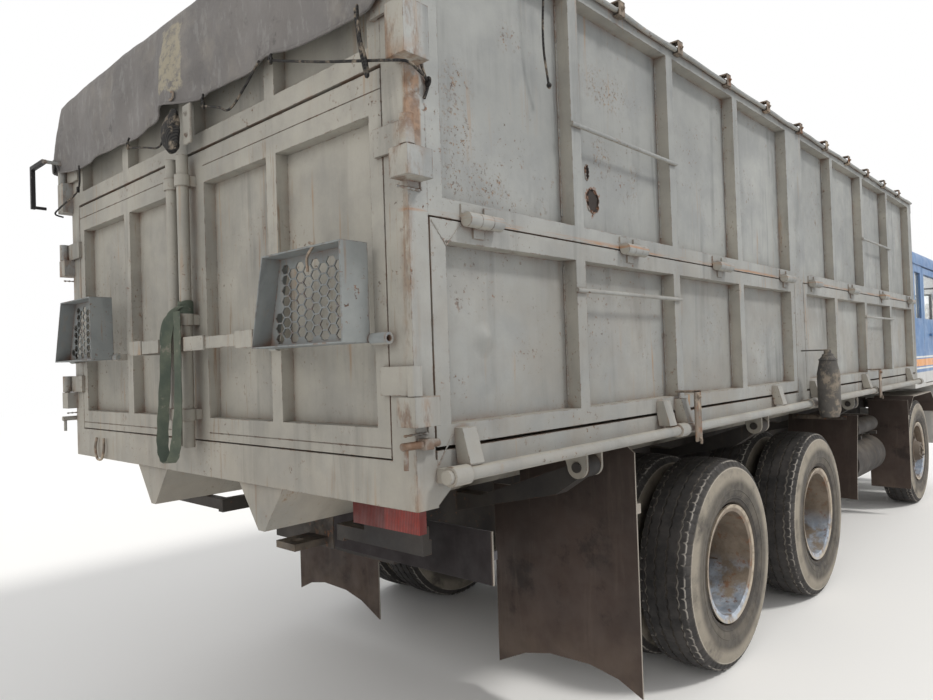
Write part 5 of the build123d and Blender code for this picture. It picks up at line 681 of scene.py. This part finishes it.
def floor():
    """A pale disc that fades into the white surround."""
    mesh = bpy.data.meshes.new("floor")
    mesh.from_pydata([(60 * math.cos(a), 60 * math.sin(a), -0.001) for a in turns(96)], [], [list(range(96))])
    obj = place("floor", mesh)
    s = Shade("floor")
    reach = s.node("ShaderNodeVectorMath", {0: s.coord}, operation="LENGTH").outputs["Value"]
    s.bsdf.inputs["Roughness"].default_value = 0.9
    s.bsdf.inputs["Base Color"].default_value = (0.86, 0.855, 0.845, 1)
    glow = s.node("ShaderNodeEmission", {"Color": (1, 1, 1, 1), "Strength": 1.0}).outputs[0]
    inputs = {0: s.ramp(reach, 10.0, 30.0), 1: s.bsdf.outputs[0], 2: glow}
    blend = s.node("ShaderNodeMixShader", inputs).outputs[0]
    s.tree.links.new(blend, s.tree.nodes["Material Output"].inputs["Surface"])
    mesh.materials.append(s.mat)


floor()


# Tyres with worn zigzag ribs, shoulder blocks and ringed walls
PITCHES = 64
STEPS = 5
TREAD_HALF = 0.106
GROOVES = [-0.078, -0.027, 0.027, 0.078]
GROOVE_HALF = 0.0055
GROOVE_DEPTH = 0.009
SIPE_DEPTH = 0.006
BLOCK_GAP_DEPTH = 0.0055
NOTCH_DEPTH = 0.0035
ZIGZAG = 0.009
# Outline of a wall from the shoulder to the rim: distance from the tyre's middle, and radius
WALL = [
    (0.112, 0.500), (0.118, 0.490), (0.124, 0.478), (0.1275, 0.468), (0.1275, 0.4655), (0.132, 0.450),
    (0.1345, 0.430), (0.1355, 0.405), (0.1350, 0.380), (0.1335, 0.362), (0.1350, 0.3605), (0.1350, 0.3575),
    (0.1325, 0.356), (0.1290, 0.335), (0.1245, 0.322), (0.1265, 0.3205), (0.1265, 0.3175), (0.1240, 0.316),
    (0.1180, 0.300), (0.1080, 0.292), (0.0990, 0.2885),
]
# Distance of each tyre's middle from the truck's
TWIN_PLACES = {"outer": 1.084, "inner": 0.759}
FRONT_PLACE = 1.014


def crown(y):
    """Radius of the worn tread at a distance from its middle."""
    return TYRE_RADIUS - 0.0005 - 0.007 * (abs(y) / 0.105) ** 2.6


def tread_columns():
    """Places across the tread, each on a rib, a groove's lip or its floor."""
    columns = []
    previous = -TREAD_HALF
    for groove in GROOVES:
        width = groove - GROOVE_HALF - previous
        columns += [(previous, "rib"), (previous + width * 0.5, "rib"), (groove - GROOVE_HALF, "lip"),
                    (groove - GROOVE_HALF * 0.7, "floor"), (groove + GROOVE_HALF * 0.7, "floor"),
                    (groove + GROOVE_HALF, "lip")]
        previous = groove + GROOVE_HALF
    return columns + [(previous + (TREAD_HALF - previous) * 0.5, "rib"), (TREAD_HALF, "rib")]


def tyre_mesh():
    columns = tread_columns()
    forge = Forge()
    rows = []
    for i, angle in enumerate(turns(PITCHES * STEPS)):
        zig = (abs((i % STEPS) / STEPS * 2 - 1) - 0.5) * ZIGZAG
        sipe = i % STEPS == 0
        wall = []
        for y, r in WALL:
            deep = SIPE_DEPTH if sipe and r > 0.475 else 0.0
            wall.append((y - deep * 0.3, r - deep))
        row = [(-y, r) for y, r in reversed(wall)]
        for y, kind in columns:
            r = crown(y)
            if kind == "floor":
                r -= GROOVE_DEPTH
            if kind == "rib" and sipe and abs(y) > 0.085:
                r -= BLOCK_GAP_DEPTH
            if kind == "rib" and abs(y) < 0.06 and (i + (3 if y > 0 else 0)) % (STEPS * 2) == 0:
                r -= NOTCH_DEPTH
            row.append((y + (zig if abs(y) < 0.09 else 0.0), r))
        rows.append([(math.cos(angle) * r, y, math.sin(angle) * r) for y, r in row + wall])
    forge.grid(rows, close_rows=True)
    return forge.data("tyre", "tyre_rubber", 28)


def dress_tyre(data, name, x, y, body, solid, turn=0.0):
    """Tyres turn by quarters only, because a turned mesh's box is measured by its corners."""
    obj = place(name, data)
    obj.location = at(x, y, AXLE_HEIGHT)
    obj.rotation_euler = (0, turn, 0)
    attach(obj, body)
    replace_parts(obj, solid)


def dress_tyres():
    data = tyre_mesh()
    for side, side_name in SIDES:
        for axle, x in (("rear", REAR_AXLE), ("mid", MIDDLE_AXLE)):
            for which, y in TWIN_PLACES.items():
                dress_tyre(data, f"tyre_{axle}_{which}_{side_name}", x, side * y,
                           f"{axle}_wheels_{side_name}", f"tyres_{axle}_{side_name}",
                           math.pi / 2 * round(x + 3 * y))
        dress_tyre(data, f"tyre_steered_{side_name}", FRONT_AXLE, side * FRONT_PLACE,
                   f"front_wheel_{side_name}", f"tyre_front_{side_name}")


dress_tyres()


# Cover sheet: stretched over the top, hanging down the rear and over the left edge
SHEET_BACK = -0.030
SHEET_FRONT = 6.437
TOP_Z = 2.912
HOOP_PITCH = 1.07
LAP_PITCH = 0.022
ROW_PITCH = 0.055
FINE_START = 0.70
FINE_PITCH = 0.0182
STAND_OFF = 0.012
DROOP_STEPS = 14
TAIL_STEPS = 26
# Lower edge of the tail: distance to the left, and height
TAIL_FOOT = [
    (-1.25, 2.60), (-1.145, 2.532), (-1.06, 2.532), (-0.86, 2.540), (-0.65, 2.556), (-0.54, 2.546),
    (-0.40, 2.552), (-0.25, 2.560), (-0.17, 2.548), (-0.06, 2.567), (0.05, 2.580), (0.19, 2.557),
    (0.38, 2.540), (0.60, 2.550), (0.83, 2.550), (1.02, 2.546), (1.20, 2.565), (1.37, 2.600),
]


def tail_foot(y):
    """Height of the tail's edge, straight between its given points."""
    for (a, p), (b, q) in zip(TAIL_FOOT, TAIL_FOOT[1:]):
        if y <= b:
            return p + (q - p) * max(0.0, (y - a) / (b - a))
    return TAIL_FOOT[-1][1]


def sheet_top(x, y):
    """Height of the stretched top, with a sag between its hoops and slack along the edges."""
    edge = 1 - abs(y) / SIDE
    sag = 0.012 * math.sin(math.pi * (x % HOOP_PITCH) / HOOP_PITCH) ** 2 * min(1.0, edge * 5)
    crowned = 0.020 * (1 - (y / SIDE) ** 4) + 0.035 * min(1.0, max(0.0, x) / 2.0) * (1 - (y / SIDE) ** 2)
    pulled = 0.006 * math.sin(x * 12.08) * max(0.0, 1 - edge * 6)
    uneven = ripple(x, y, 0, 3.1, 0.009) * min(1, edge * 8) + ripple(x, y, 4, 13, 0.003)
    return TOP_Z + crowned - sag + pulled + uneven


def front_lap(across, i):
    """A row of the short lap down the front wall."""
    drop = LAP_PITCH * i
    front = [at(SHEET_FRONT + 0.004 + 0.003 * math.sin(y * 30), y, sheet_top(SHEET_FRONT, y) - drop)
             for y in across]
    return front + [at(SHEET_FRONT, SIDE + STAND_OFF + 0.001 * k, TOP_Z - drop - 0.004 * k)
                    for k in range(1, DROOP_STEPS + 1)]


def top_row(across, x):
    """A row over the top and down the left side; it hangs lower and stands off more toward the rear."""
    row = [at(x, y, sheet_top(x, y)) for y in across]
    near = max(0.0, 1 - max(0.0, x) / 1.3)
    length = 0.11 + 0.20 * near ** 1.3 + 0.012 * math.sin(x * 7.3)
    for k in range(1, DROOP_STEPS + 1):
        t = k / DROOP_STEPS
        fold = 0.010 * t * math.sin(x * 21 + 2.2 * math.sin(x * 5)) * (0.4 + near)
        out = SIDE + STAND_OFF + 0.155 * near ** 1.5 * t ** 0.9 + fold
        row.append(at(x, out + 0.006, TOP_Z - length * t - 0.008 * (1 - (1 - t) ** 2)))
    return row


def tail_row(across, t, corner):
    """A row of the tail, at a share t of its drop; the corner's cloth is gathered behind its left end."""
    row = []
    for y in across:
        top = sheet_top(SHEET_BACK, y)
        lean = 0.012 * math.sin(y * 9.5 + 1.2) + 0.008 * math.sin(y * 23 + 2 * math.sin(y * 3))
        lean += ripple(0, y, t, 5.5, 0.010)
        out = 0.006 + 0.010 * math.sin(math.pi * min(1, t * 1.15)) + lean * t ** 0.8
        push = 0.030 * math.exp(-((y - 0.02) / 0.10) ** 2) * t
        pull = 0.020 * t * max(0.0, (y - 0.9) / 0.35)
        row.append(at(SHEET_BACK - max(0.004, out) - push, y + pull, top - (top - tail_foot(y)) * t))
    left_edge = row[-1]
    for k in range(1, DROOP_STEPS + 1):
        u = k / DROOP_STEPS
        gather = left_edge.lerp(corner[len(across) + k - 1], u)
        bulge = 0.020 * math.sin(math.pi * u) * t
        drop = max(gather.z - 0.05 * t * u, TAIL_FOOT[-1][1])
        row.append(Vector((gather.x - bulge, gather.y + bulge * 0.5, drop)))
    return row


def cover_sheet():
    across = [-SIDE + 2 * SIDE * i / 150 for i in range(151)]
    coarse_rows = int((SHEET_FRONT - FINE_START) / ROW_PITCH) + 1
    fine_rows = int((FINE_START - SHEET_BACK) / FINE_PITCH)
    along = [SHEET_FRONT - ROW_PITCH * i for i in range(coarse_rows)]
    along += [FINE_START - FINE_PITCH * i for i in range(fine_rows)] + [SHEET_BACK]
    rows = [front_lap(across, i) for i in range(5, 0, -1)]
    rows += [top_row(across, x) for x in along]
    corner = rows[-1]
    rows += [tail_row(across, j / TAIL_STEPS, corner) for j in range(1, TAIL_STEPS + 1)]
    forge = Forge()
    forge.grid(rows)
    forge.weld(0.0004)
    obj = forge.object("cover_cloth", "cover_fabric", "load_body", angle=60)
    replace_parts(obj, "cover_sheet")
    thick = obj.modifiers.new("thickness", "SOLIDIFY")
    thick.thickness = 0.0025
    thick.offset = 0.0
    hem = Forge()
    hem.sweep([p + Vector((-0.001, 0, 0.004)) for p in rows[-1][::2]], 0.005, 8, rough=0.12)
    hem_obj = hem.object("cover_hem", "cover_fabric", "load_body")
    ring = Forge()
    eyelet = [(0, 0.021), (0.004, 0.020), (0.004, 0.0125), (-0.002, 0.0120)]
    ring.turned(at(-0.066, -0.018, 2.603), (-1, 0, 0.1), eyelet, 24, cap=False)
    ring.object("cover_eyelet", "bare_steel", "load_body")


cover_sheet()


# Webbing strap knotted round the locking tube, its loop hanging
def ribbon(forge, centres, widths, directions, thickness):
    """A flat strap: centres, half widths and width directions."""
    rows = []
    for i, centre in enumerate(centres):
        ahead = (centres[min(i + 1, len(centres) - 1)] - centres[max(i - 1, 0)]).normalized()
        wide = directions[i].normalized()
        thin = ahead.cross(wide).normalized() * thickness / 2
        w = wide * widths[i]
        outline = ((-1, 1), (-0.33, 1.15), (0.33, 1.15), (1, 1))
        rows.append([centre + w * a - thin * b for a, b in outline]
                    + [centre - w * a + thin * b for a, b in outline])
    forge.tube(rows)


def door_strap():
    forge = Forge()
    centres = smooth_path([
        (-0.078, -0.075, 1.795), (-0.086, -0.020, 1.770), (-0.092, 0.018, 1.68), (-0.097, 0.030, 1.52),
        (-0.100, 0.046, 1.38), (-0.103, 0.052, 1.28), (-0.106, 0.030, 1.225), (-0.109, -0.012, 1.2085),
        (-0.110, -0.052, 1.232), (-0.108, -0.075, 1.30), (-0.103, -0.085, 1.42), (-0.097, -0.078, 1.58),
        (-0.092, -0.070, 1.70), (-0.088, -0.060, 1.775)], 9)
    directions = []
    for i in range(len(centres)):
        t = i / (len(centres) - 1)
        turn = 0.15 + 1.05 * math.sin(math.pi * min(1.0, t * 1.25)) * (0.8 if t < 0.8 else 4 * (1 - t))
        directions.append(Vector((math.sin(turn), -math.cos(turn), 0.0)))
    widths = [0.021 + 0.0012 * math.sin(i * 0.9) for i in range(len(centres))]
    ribbon(forge, centres, widths, directions, 0.0028)
    for height, lean in ((1.776, 0.010), (1.792, -0.012), (1.800, 0.005)):
        loop = [at(-0.045 + 0.0265 * math.cos(a), -0.045 + 0.0265 * math.sin(a), height + lean * math.sin(a))
                for a in turns(24, True)]
        ribbon(forge, loop, [0.014] * 25, [Vector((0, 0, 1))] * 25, 0.0035)
    tail = smooth_path([(-0.080, -0.050, 1.79), (-0.094, 0.010, 1.755), (-0.098, 0.040, 1.70),
                        (-0.096, 0.052, 1.655)], 6)
    widths = [0.020 - 0.0006 * i for i in range(len(tail))]
    ribbon(forge, tail, widths, [Vector((0.3, -0.9, 0.3))] * len(tail), 0.003)
    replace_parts(forge.object("strap_loop", "webbing", "tail_door_right", angle=50), "door_strap")


door_strap()


# Ties, hooks and fittings of the rear
TIE_RADIUS = 0.0042


def cover_ties():
    """Taut ropes of the cover's tail, with lumpy knots."""
    forge = Forge()
    for run in (
        [(-0.058, 0.395, 2.544), (-0.064, 0.395, 2.504), (-0.060, 0.25, 2.468), (-0.060, 0.112, 2.439),
         (-0.062, 0.048, 2.482)],
        [(-0.058, -0.25, 2.548), (-0.064, -0.258, 2.505), (-0.060, -0.36, 2.470), (-0.060, -0.451, 2.446),
         (-0.060, -0.628, 2.549)],
        [(-0.058, -0.70, 2.550), (-0.062, -0.698, 2.530), (-0.062, -0.85, 2.478), (-0.062, -0.989, 2.433),
         (-0.064, -1.23, 2.361), (-0.060, -1.296, 2.342), (-0.044, -1.312, 2.338), (-0.016, -1.312, 2.330),
         (0.078, -1.262, 2.332), (0.068, -1.256, 2.285)],
        [(-0.009, -1.258, 2.488), (0.04, -1.258, 2.41), (0.080, -1.258, 2.330)],
        [(-0.058, 0.975, 2.548), (-0.064, 0.975, 2.431), (-0.064, 1.20, 2.392), (-0.060, 1.310, 2.372),
         (-0.02, 1.314, 2.360)],
    ):
        forge.sweep(smooth_path(run, 6), TIE_RADIUS, 7, rough=0.15)
    for knot in ((-0.064, 0.395, 2.504), (-0.064, -0.258, 2.505), (-0.062, -0.698, 2.530),
                 (0.078, -1.262, 2.332), (-0.064, 0.975, 2.431)):
        for shift in (-TIE_RADIUS, 0.0, TIE_RADIUS):
            middle = at(*knot) + Vector((shift, 1.2 * shift, 0))
            ring = [middle + TIE_RADIUS * Vector((0.5 * math.cos(a), 2.2 * math.cos(a), 2.2 * math.sin(a)))
                    for a in turns(10, True)]
            forge.sweep(ring, TIE_RADIUS, 6, rough=0.2)
    forge.object("cover_ties", "rope", "load_body", "webbing", 60)


def rubber_strap():
    forge = Forge()
    forge.sweep(smooth_path([(-0.064, -1.137, 2.543), (-0.070, -1.150, 2.46), (-0.072, -1.176, 2.38),
                             (-0.070, -1.182, 2.339), (-0.066, -1.170, 2.345), (-0.066, -1.146, 2.44),
                             (-0.062, -1.128, 2.540)], 6), 0.0075, 8, 0.55, 0.08)
    forge.object("rubber_strap", "rope", "load_body", "webbing", 60)


def tube_boot():
    """A crumpled bag over the top of the right locking tube, tied round its middle."""
    forge = Forge()
    rows = []
    for i in range(19):
        t = i / 18
        reach = 0.027 + 0.030 * math.sin(math.pi * min(1.0, 0.12 + 0.95 * t)) ** 0.8
        rows.append([at(-0.052 - 0.45 * reach * (1 + math.cos(a)) - 0.002,
                        -0.030 + reach * math.sin(a) * (1 + 0.10 * math.sin(4 * a + 7 * t))
                        + ripple(a, 9 * t, 0, 1.0, 0.006),
                        2.392 + 0.148 * t + 0.006 * math.sin(2 * a + 9 * t)) for a in turns(36)])
    forge.tube(rows)
    forge.sweep([at(-0.078, -0.030 + 0.03 * math.cos(a), 2.50 + 0.004 * math.sin(3 * a))
                 for a in [0.3 * k for k in range(11)]], 0.004, 6)
    forge.object("tube_boot", "rope", "load_body", "webbing", 60)


def rear_steel():
    """Plate where the upper doors meet, ring under the sill, hook of the right step and welds of the posts."""
    plate = Forge()
    plate.slab(at(-0.062, -0.150, 2.398), at(-0.050, -0.092, 2.546), 0.003)
    for z in (2.43, 2.51):
        plate.bolt(at(-0.062, -0.121, z), (-1, 0, 0), 0.007)
    plate.object("meeting_plate", "body_paint", "load_body")
    ring = Forge()
    ring_path = smooth_path([(-0.012, 0.878, 1.246), (-0.016, 0.868, 1.200), (-0.018, 0.890, 1.152),
                             (-0.018, 0.945, 1.150), (-0.016, 0.972, 1.196), (-0.012, 0.962, 1.246)], 6)
    ring.sweep(ring_path, 0.006, 10)
    ring.object("sill_ring", "bare_steel", "load_body")
    hook = Forge()
    hook_path = smooth_path([(-0.124, -0.955, 1.822), (-0.130, -0.962, 1.862), (-0.130, -0.992, 1.891),
                             (-0.126, -0.969, 1.903)], 6)
    hook.sweep(hook_path, 0.0042)
    hook.object("step_hook", "bare_steel", "door_step_right")
    welds = Forge()
    for side, _ in SIDES:
        y = side * 1.253
        for z0, z1 in ((1.359, 1.437), (2.025, 2.103), (2.370, 2.518)):
            for z in (z0, z1):
                welds.bead(at(-0.045, y, z), at(0.043, y, z), 0.0032)
            welds.bead(at(0.046, y, z0), at(0.046, y, z1), 0.0032)
    welds.object("post_welds", "body_paint", "load_body")


cover_ties()
rubber_strap()
tube_boot()
rear_steel()


def side_rope():
    """The cover's spare rope, hanging down the right side from the top edge."""
    route = [(0.628, -1.272, 2.905), (0.630, -1.276, 2.87), (0.632, -1.270, 2.78), (0.631, -1.262, 2.68),
             (0.640, -1.256, 2.59), (0.662, -1.250, 2.53), (0.674, -1.248, 2.489)]
    curve = bpy.data.curves.new("side_rope", "CURVE")
    curve.dimensions = "3D"
    spline = curve.splines.new("NURBS")
    spline.points.add(len(route) - 1)
    for point, spot in zip(spline.points, route):
        point.co = (*at(*spot), 1.0)
    spline.order_u = 3
    spline.use_endpoint_u = True
    curve.bevel_depth = 0.004
    curve.bevel_resolution = 4
    curve.use_fill_caps = True
    curve.materials.append(MATERIALS["rope"])
    obj = place("side_rope", curve)
    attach(obj, "load_body")
    knot = Forge()
    outline = [(0, 0.004), (0.003, 0.008), (0.008, 0.0095), (0.013, 0.0085), (0.017, 0.005), (0.020, 0.0035)]
    knot.turned(at(0.675, -1.248, 2.494), (0.15, 0, -1), outline, 14)
    knot_obj = knot.object("side_rope_knot", "rope", "load_body", "webbing", 60)


side_rope()


# Tube and clamps along the right top edge; welds and latch straps of both sides
RIB_STATIONS = (0.800, 1.545, 2.262, 3.900, 4.665, 5.458)
RIB_WIDTH = 0.060
CLAMP_STATIONS = (1.135, 1.634, 2.161, 2.698, 3.243, 3.757, 4.28, 4.80, 5.32, 5.84)
PANEL_FACE = 1.197
FLAP_FACE = 1.2505
STRAP_BACK = 1.336
STRAP_FACE = 1.344
STRAP_WIDTH = 0.056
STRAP_STATIONS = {"rear": 1.510, "front": 4.600}


def edge_fittings():
    tube = Forge()
    tube.sweep([at(0.09 + 0.21 * i, -1.263 + 0.002 * math.sin(i * 2.3), 2.888 + 0.003 * math.sin(i * 1.7))
                for i in range(31)], 0.0105, 10)
    tube.object("edge_tube", "body_paint", "load_body", angle=60)
    clamps = Forge()
    for x in CLAMP_STATIONS:
        for y0, z0, y1, z1, chamfer in ((-1.280, 2.868, -1.252, 2.874, 0.0015),
                                        (-1.281, 2.868, -1.275, 2.926, 0.002),
                                        (-1.281, 2.920, -1.238, 2.928, 0.002)):
            clamps.slab(at(x - 0.022, y0, z0), at(x + 0.022, y1, z1), chamfer)
        clamps.bolt(at(x, -1.281, 2.898), (0, -1, 0), 0.008)
    clamps.object("edge_clamps", "bare_steel", "load_body")


def flap_strap(side, side_name, half_name, x):
    """An angled strap on a flap's foot that hangs over the latch tube, with a bolt and a pin."""
    strap = Forge()
    strap.slab(*beside(side, (x, STRAP_BACK, 1.185), (x + STRAP_WIDTH, STRAP_FACE, 1.398)))
    strap.slab(*beside(side, (x, 1.252, 1.390), (x + STRAP_WIDTH, STRAP_FACE, 1.398)))
    middle = x + STRAP_WIDTH / 2
    strap.bolt(at(middle, side * STRAP_FACE, 1.372), (0, side, 0))
    pin = ((STRAP_FACE, 1.20), (1.352, 1.192), (1.350, 1.176))
    strap.sweep([at(middle, side * y, z) for y, z in pin], 0.006)
    strap.object(f"flap_strap_{half_name}_{side_name}", "bare_steel", f"side_flap_{half_name}_{side_name}")


def flap_fittings(side, side_name):
    """Weld beads along the ribs of one side, and the latch straps of its flaps."""
    upper, flaps = Forge(), {"rear": Forge(), "front": Forge()}
    y = side * PANEL_FACE
    for x in RIB_STATIONS:
        half = flaps["rear" if x < 3 else "front"]
        for edge in (x - 0.001, x + RIB_WIDTH + 0.001):
            upper.bead(at(edge, y, 2.06), at(edge, y, 2.82), 0.0034)
            half.bead(at(edge, y, 1.42), at(edge, y, 1.88), 0.0034)
    for x0, z0, x1, z1 in ((0.084, 1.950, 0.142, 1.884), (0.142, 1.884, 0.205, 1.950),
                           (0.084, 1.268, 0.142, 1.345)):
        flaps["rear"].bead(at(x0, side * FLAP_FACE, z0), at(x1, side * FLAP_FACE, z1), 0.0022)
    upper.object(f"rib_welds_{side_name}", "body_paint", "load_body")
    for half_name, half in flaps.items():
        half.object(f"flap_welds_{half_name}_{side_name}", "body_paint", f"side_flap_{half_name}_{side_name}")
        flap_strap(side, side_name, half_name, STRAP_STATIONS[half_name])


edge_fittings()
for side, side_name in SIDES:
    flap_fittings(side, side_name)


def side_marks():
    """A knock that stands out of the lower panel, and the lips of the rusted holes above it."""
    knock = Forge()
    rows = []
    for i in range(19):
        share = i / 18
        out = 0.019 * (1 - share ** 1.6) ** 2.2
        rows.append([at(0.355 + 0.058 * share * math.cos(a), -1.1937 - out,
                        1.618 + 0.066 * share * math.sin(a) + 0.5 * out) for a in turns(40)])
    knock.grid(rows, close_columns=True)
    knock.weld(0.0003)
    knock.object("panel_bulge", "body_paint", "side_flap_rear_right", angle=80)
    lips = Forge()
    for x, z, reach_x, reach_z in HOLES:
        lip = []
        for a in turns(44) + [0.0]:
            wave = 0.94 + 0.05 * math.sin(7 * a)
            wave += 0.16 * noise.noise(Vector((math.cos(a) * 2.2, math.sin(a) * 2.2, x * 9)))
            lip.append(at(x + reach_x * wave * math.cos(a), -1.1950, z + reach_z * wave * math.sin(a)))
        lips.sweep(lip, [0.0032 + 0.0014 * math.sin(k * 1.9) for k in range(45)], 7, rough=0.4)
    lips.object("hole_lips", "body_paint", "load_body", angle=60)


side_marks()


# Rubber sheets that hang from the front side arms, ahead of the middle axle
RUBBER_TOP = 1.045
RUBBER_INNER = 0.66
RUBBER_WIDTH = 0.505


def middle_mudflap(side, side_name):
    sheet = Forge()
    across = [RUBBER_INNER + RUBBER_WIDTH * i / 16 for i in range(17)]
    rows = []
    for i in range(25):
        share = i / 24
        ring = []
        for thick, order in ((0.0, across), (0.008, across[::-1])):
            for y in order:
                foot = 0.418 + 0.020 * ((RUBBER_INNER + RUBBER_WIDTH - y) / RUBBER_WIDTH) ** 2
                z = RUBBER_TOP - (RUBBER_TOP - foot) * share
                x = 4.692 - 0.150 * (RUBBER_TOP - z) - 0.012 * math.sin(math.pi * share)
                ring.append(at(x + 0.006 * share * math.sin(y * 14) - thick, side * y, z))
        rows.append(ring)
    sheet.tube(rows)
    sheet.object(f"mudflap_middle_{side_name}", "flap_rubber", "chassis")
    clamp = Forge()
    clamp.slab(*beside(side, (4.672, 0.69, 1.008), (4.6835, 1.09, 1.040)))
    for i in range(5):
        clamp.bolt(at(4.672, side * (0.73 + 0.08 * i), 1.024), (-1, 0, 0), 0.008)
    clamp.object(f"mudflap_clamp_{side_name}", "cast_parts", "chassis")


# Wheels: body, station, how far the wheel's and the hub's face are from the middle, radius of the nuts' circle
WHEELS = (
    ("rear_wheels", REAR_AXLE, 0.9495, 1.0415, 0.143),
    ("mid_wheels", MIDDLE_AXLE, 0.9495, 1.0415, 0.143),
    ("front_wheel", FRONT_AXLE, 1.072, 1.158, 0.146),
)
HUB_CIRCLE = 0.066


def wheel_fittings(side, side_name):
    """Wheel nuts, hub bolts, hub ring and valve."""
    axis = (0, side, 0)
    nut_angles = [math.tau * (i + 0.5) / 10 for i in range(10)]
    for body, x, face, hub_face, circle in WHEELS:
        forge = Forge()
        for angles, reach, y, size in ((nut_angles, circle, face, 0.0155),
                                       (turns(8), HUB_CIRCLE, hub_face, 0.0075)):
            for a in angles:
                spot = at(x + reach * math.cos(a), side * y, AXLE_HEIGHT + reach * math.sin(a))
                forge.bolt(spot, axis, size)
        ring = [(0, 0.166), (0.006, 0.165), (0.007, 0.160), (0.007, 0.1255), (0, 0.125)]
        forge.turned(at(x, side * face, AXLE_HEIGHT), axis, ring, 48, cap=False)
        valve = ((0.235, 0.004, 0.06), (0.243, 0.035, 0.062), (0.246, 0.075, 0.063))
        forge.sweep([at(x + out, side * (face + along), AXLE_HEIGHT - low) for out, along, low in valve],
                    [0.006, 0.0055, 0.005], 10)
        forge.object(f"nuts_{body}_{side_name}", "cast_parts", f"{body}_{side_name}")


def cab_side_fittings(side, side_name):
    glass = Forge()
    glass.slab(*beside(side, (8.0865, 1.268, 1.800), (8.0905, 1.392, 2.120)), 0.0015)
    glass.object(f"mirror_glass_{side_name}", "mirror_glass", "cab", "cast_parts")
    ring = Forge()
    outline = [(0, 0.0838), (0.0045, 0.0838), (0.0062, 0.080), (0.003, 0.074), (0, 0.0735)]
    ring.turned(at(8.3335, side * 0.9, 0.64), (1, 0, 0), outline, 40, cap=False)
    ring.object(f"lamp_ring_{side_name}", "bare_steel", "chassis")


for fit in (middle_mudflap, wheel_fittings, cab_side_fittings):
    for side, side_name in SIDES:
        fit(side, side_name)


def glass_station(z):
    """Station of the leaning windscreen at a height."""
    return 8.2087 - 0.2275 * (z - 1.81)


def wipers():
    forge = Forge()
    for y in (0.52, -0.42):
        tip = at(glass_station(2.03) + 0.018, y - 0.16, 2.03)
        forge.turned(at(8.236, y, 1.782), (1, 0, 0.23), [(0, 0.016), (0.012, 0.016), (0.020, 0.010)], 16)
        forge.sweep([at(8.250, y, 1.785), at(glass_station(1.86) + 0.024, y - 0.05, 1.86), tip],
                    [0.006, 0.005, 0.004], 8, 0.6)
        blade = [at(glass_station(z) + 0.010, y - 0.16 - (2.03 - z) * 0.7, z)
                 for z in (1.85, 1.91, 1.97, 2.03, 2.09, 2.15, 2.21)]
        forge.sweep(blade, [0.004, 0.006, 0.007, 0.008, 0.007, 0.006, 0.004], 8, 0.5)
    forge.object("wipers", "cast_parts", "cab")


# Rear ends of the air tanks on the right, and the lid of the hanging can
TANK_PLACES = (0.640, 0.800, 0.960)
TANK_HEIGHT = 0.880
TANK_END = 5.2405
CAN_PLACE = (3.170, -1.395)


def tank_and_can_ends():
    ends = Forge()
    dome = [(0, 0.0495), (0.006, 0.0490), (0.011, 0.043), (0.014, 0.030), (0.0155, 0.012), (0.0158, 0.002)]
    for y in TANK_PLACES:
        ends.turned(at(TANK_END, -y, TANK_HEIGHT), (-1, 0, 0), dome, 32)
        ends.bolt(at(TANK_END - 0.0155, -y, TANK_HEIGHT), (-1, 0, 0))
    ends.object("air_tank_ends", "frame_paint", "chassis")
    lid = Forge()
    knob = [(0, 0.020), (0.004, 0.031), (0.020, 0.031), (0.024, 0.026), (0.030, 0.012)]
    lid.turned(at(*CAN_PLACE, 1.503), (0, 0, 1), knob, 28)
    x, y = CAN_PLACE
    lid.sweep([at(x + 0.046 * math.cos(a), y + 0.046 * math.sin(a), 1.493) for a in turns(24, True)], 0.005)
    lid.object("can_cap", "can_plastic", "load_body")


wipers()
tank_and_can_ends()


# Seat covers: crowned padded shells round the plain seats, with sewn channels
CUSHION_ROUNDING = 0.026
CUSHION_GAP = 0.012
CUSHION_CELLS = 30
CHANNEL_PITCH = 0.055


def cushion(name, low, high, lean, crown_axis, crown_rise):
    """A padded shell that stands off a box from low to high; lean is its change of station with height."""
    low, high = Vector(low), Vector(high)
    middle, half = (low + high) / 2, (high - low) / 2
    shares = [math.sin((i / CUSHION_CELLS - 0.5) * math.pi) for i in range(CUSHION_CELLS + 1)]

    def skin_point(axis, sign, u, v):
        unit = [0.0, 0.0, 0.0]
        unit[axis], unit[(axis + 1) % 3], unit[(axis + 2) % 3] = sign, u, v
        full = Vector(a * (h + CUSHION_GAP) for a, h in zip(unit, half))
        limits = [h + CUSHION_GAP - CUSHION_ROUNDING for h in half]
        core = Vector(max(-limit, min(limit, f)) for f, limit in zip(full, limits))
        out = full - core
        p = core + out.normalized() * CUSHION_ROUNDING if out.length > 1e-9 else full
        free = (1 - u * u) * (1 - v * v)
        if axis == crown_axis and sign > 0:
            channel = 0.0045 * abs(math.sin(math.pi * p.y / CHANNEL_PITCH)) ** 0.5
            p[axis] += crown_rise * free ** 0.6 + (channel - 0.002) * min(1.0, free * 4)
        else:
            p[axis] += sign * 0.006 * free
        p = p + middle
        p.x += lean * (p.z - low.z) + ripple(p.x, p.y, p.z, 11, 0.0015)
        return at(*p)

    forge = Forge()
    for axis in range(3):
        for sign in (-1, 1):
            forge.grid([[skin_point(axis, sign, u, v) for v in shares] for u in shares])
    forge.weld(0.0005)
    forge.object(name, "seat_cloth", "cab", "interior_trim", 60)


for side, side_name in SIDES:
    near, far = side * 0.56 - 0.240, side * 0.56 + 0.240
    cushion(f"seat_cushion_{side_name}", (7.060, near, 1.445), (7.560, far, 1.565), 0.0, 2, 0.028)
    cushion(f"seat_back_{side_name}", (7.080, near, 1.590), (7.180, far, 2.175), -0.164, 0, 0.022)
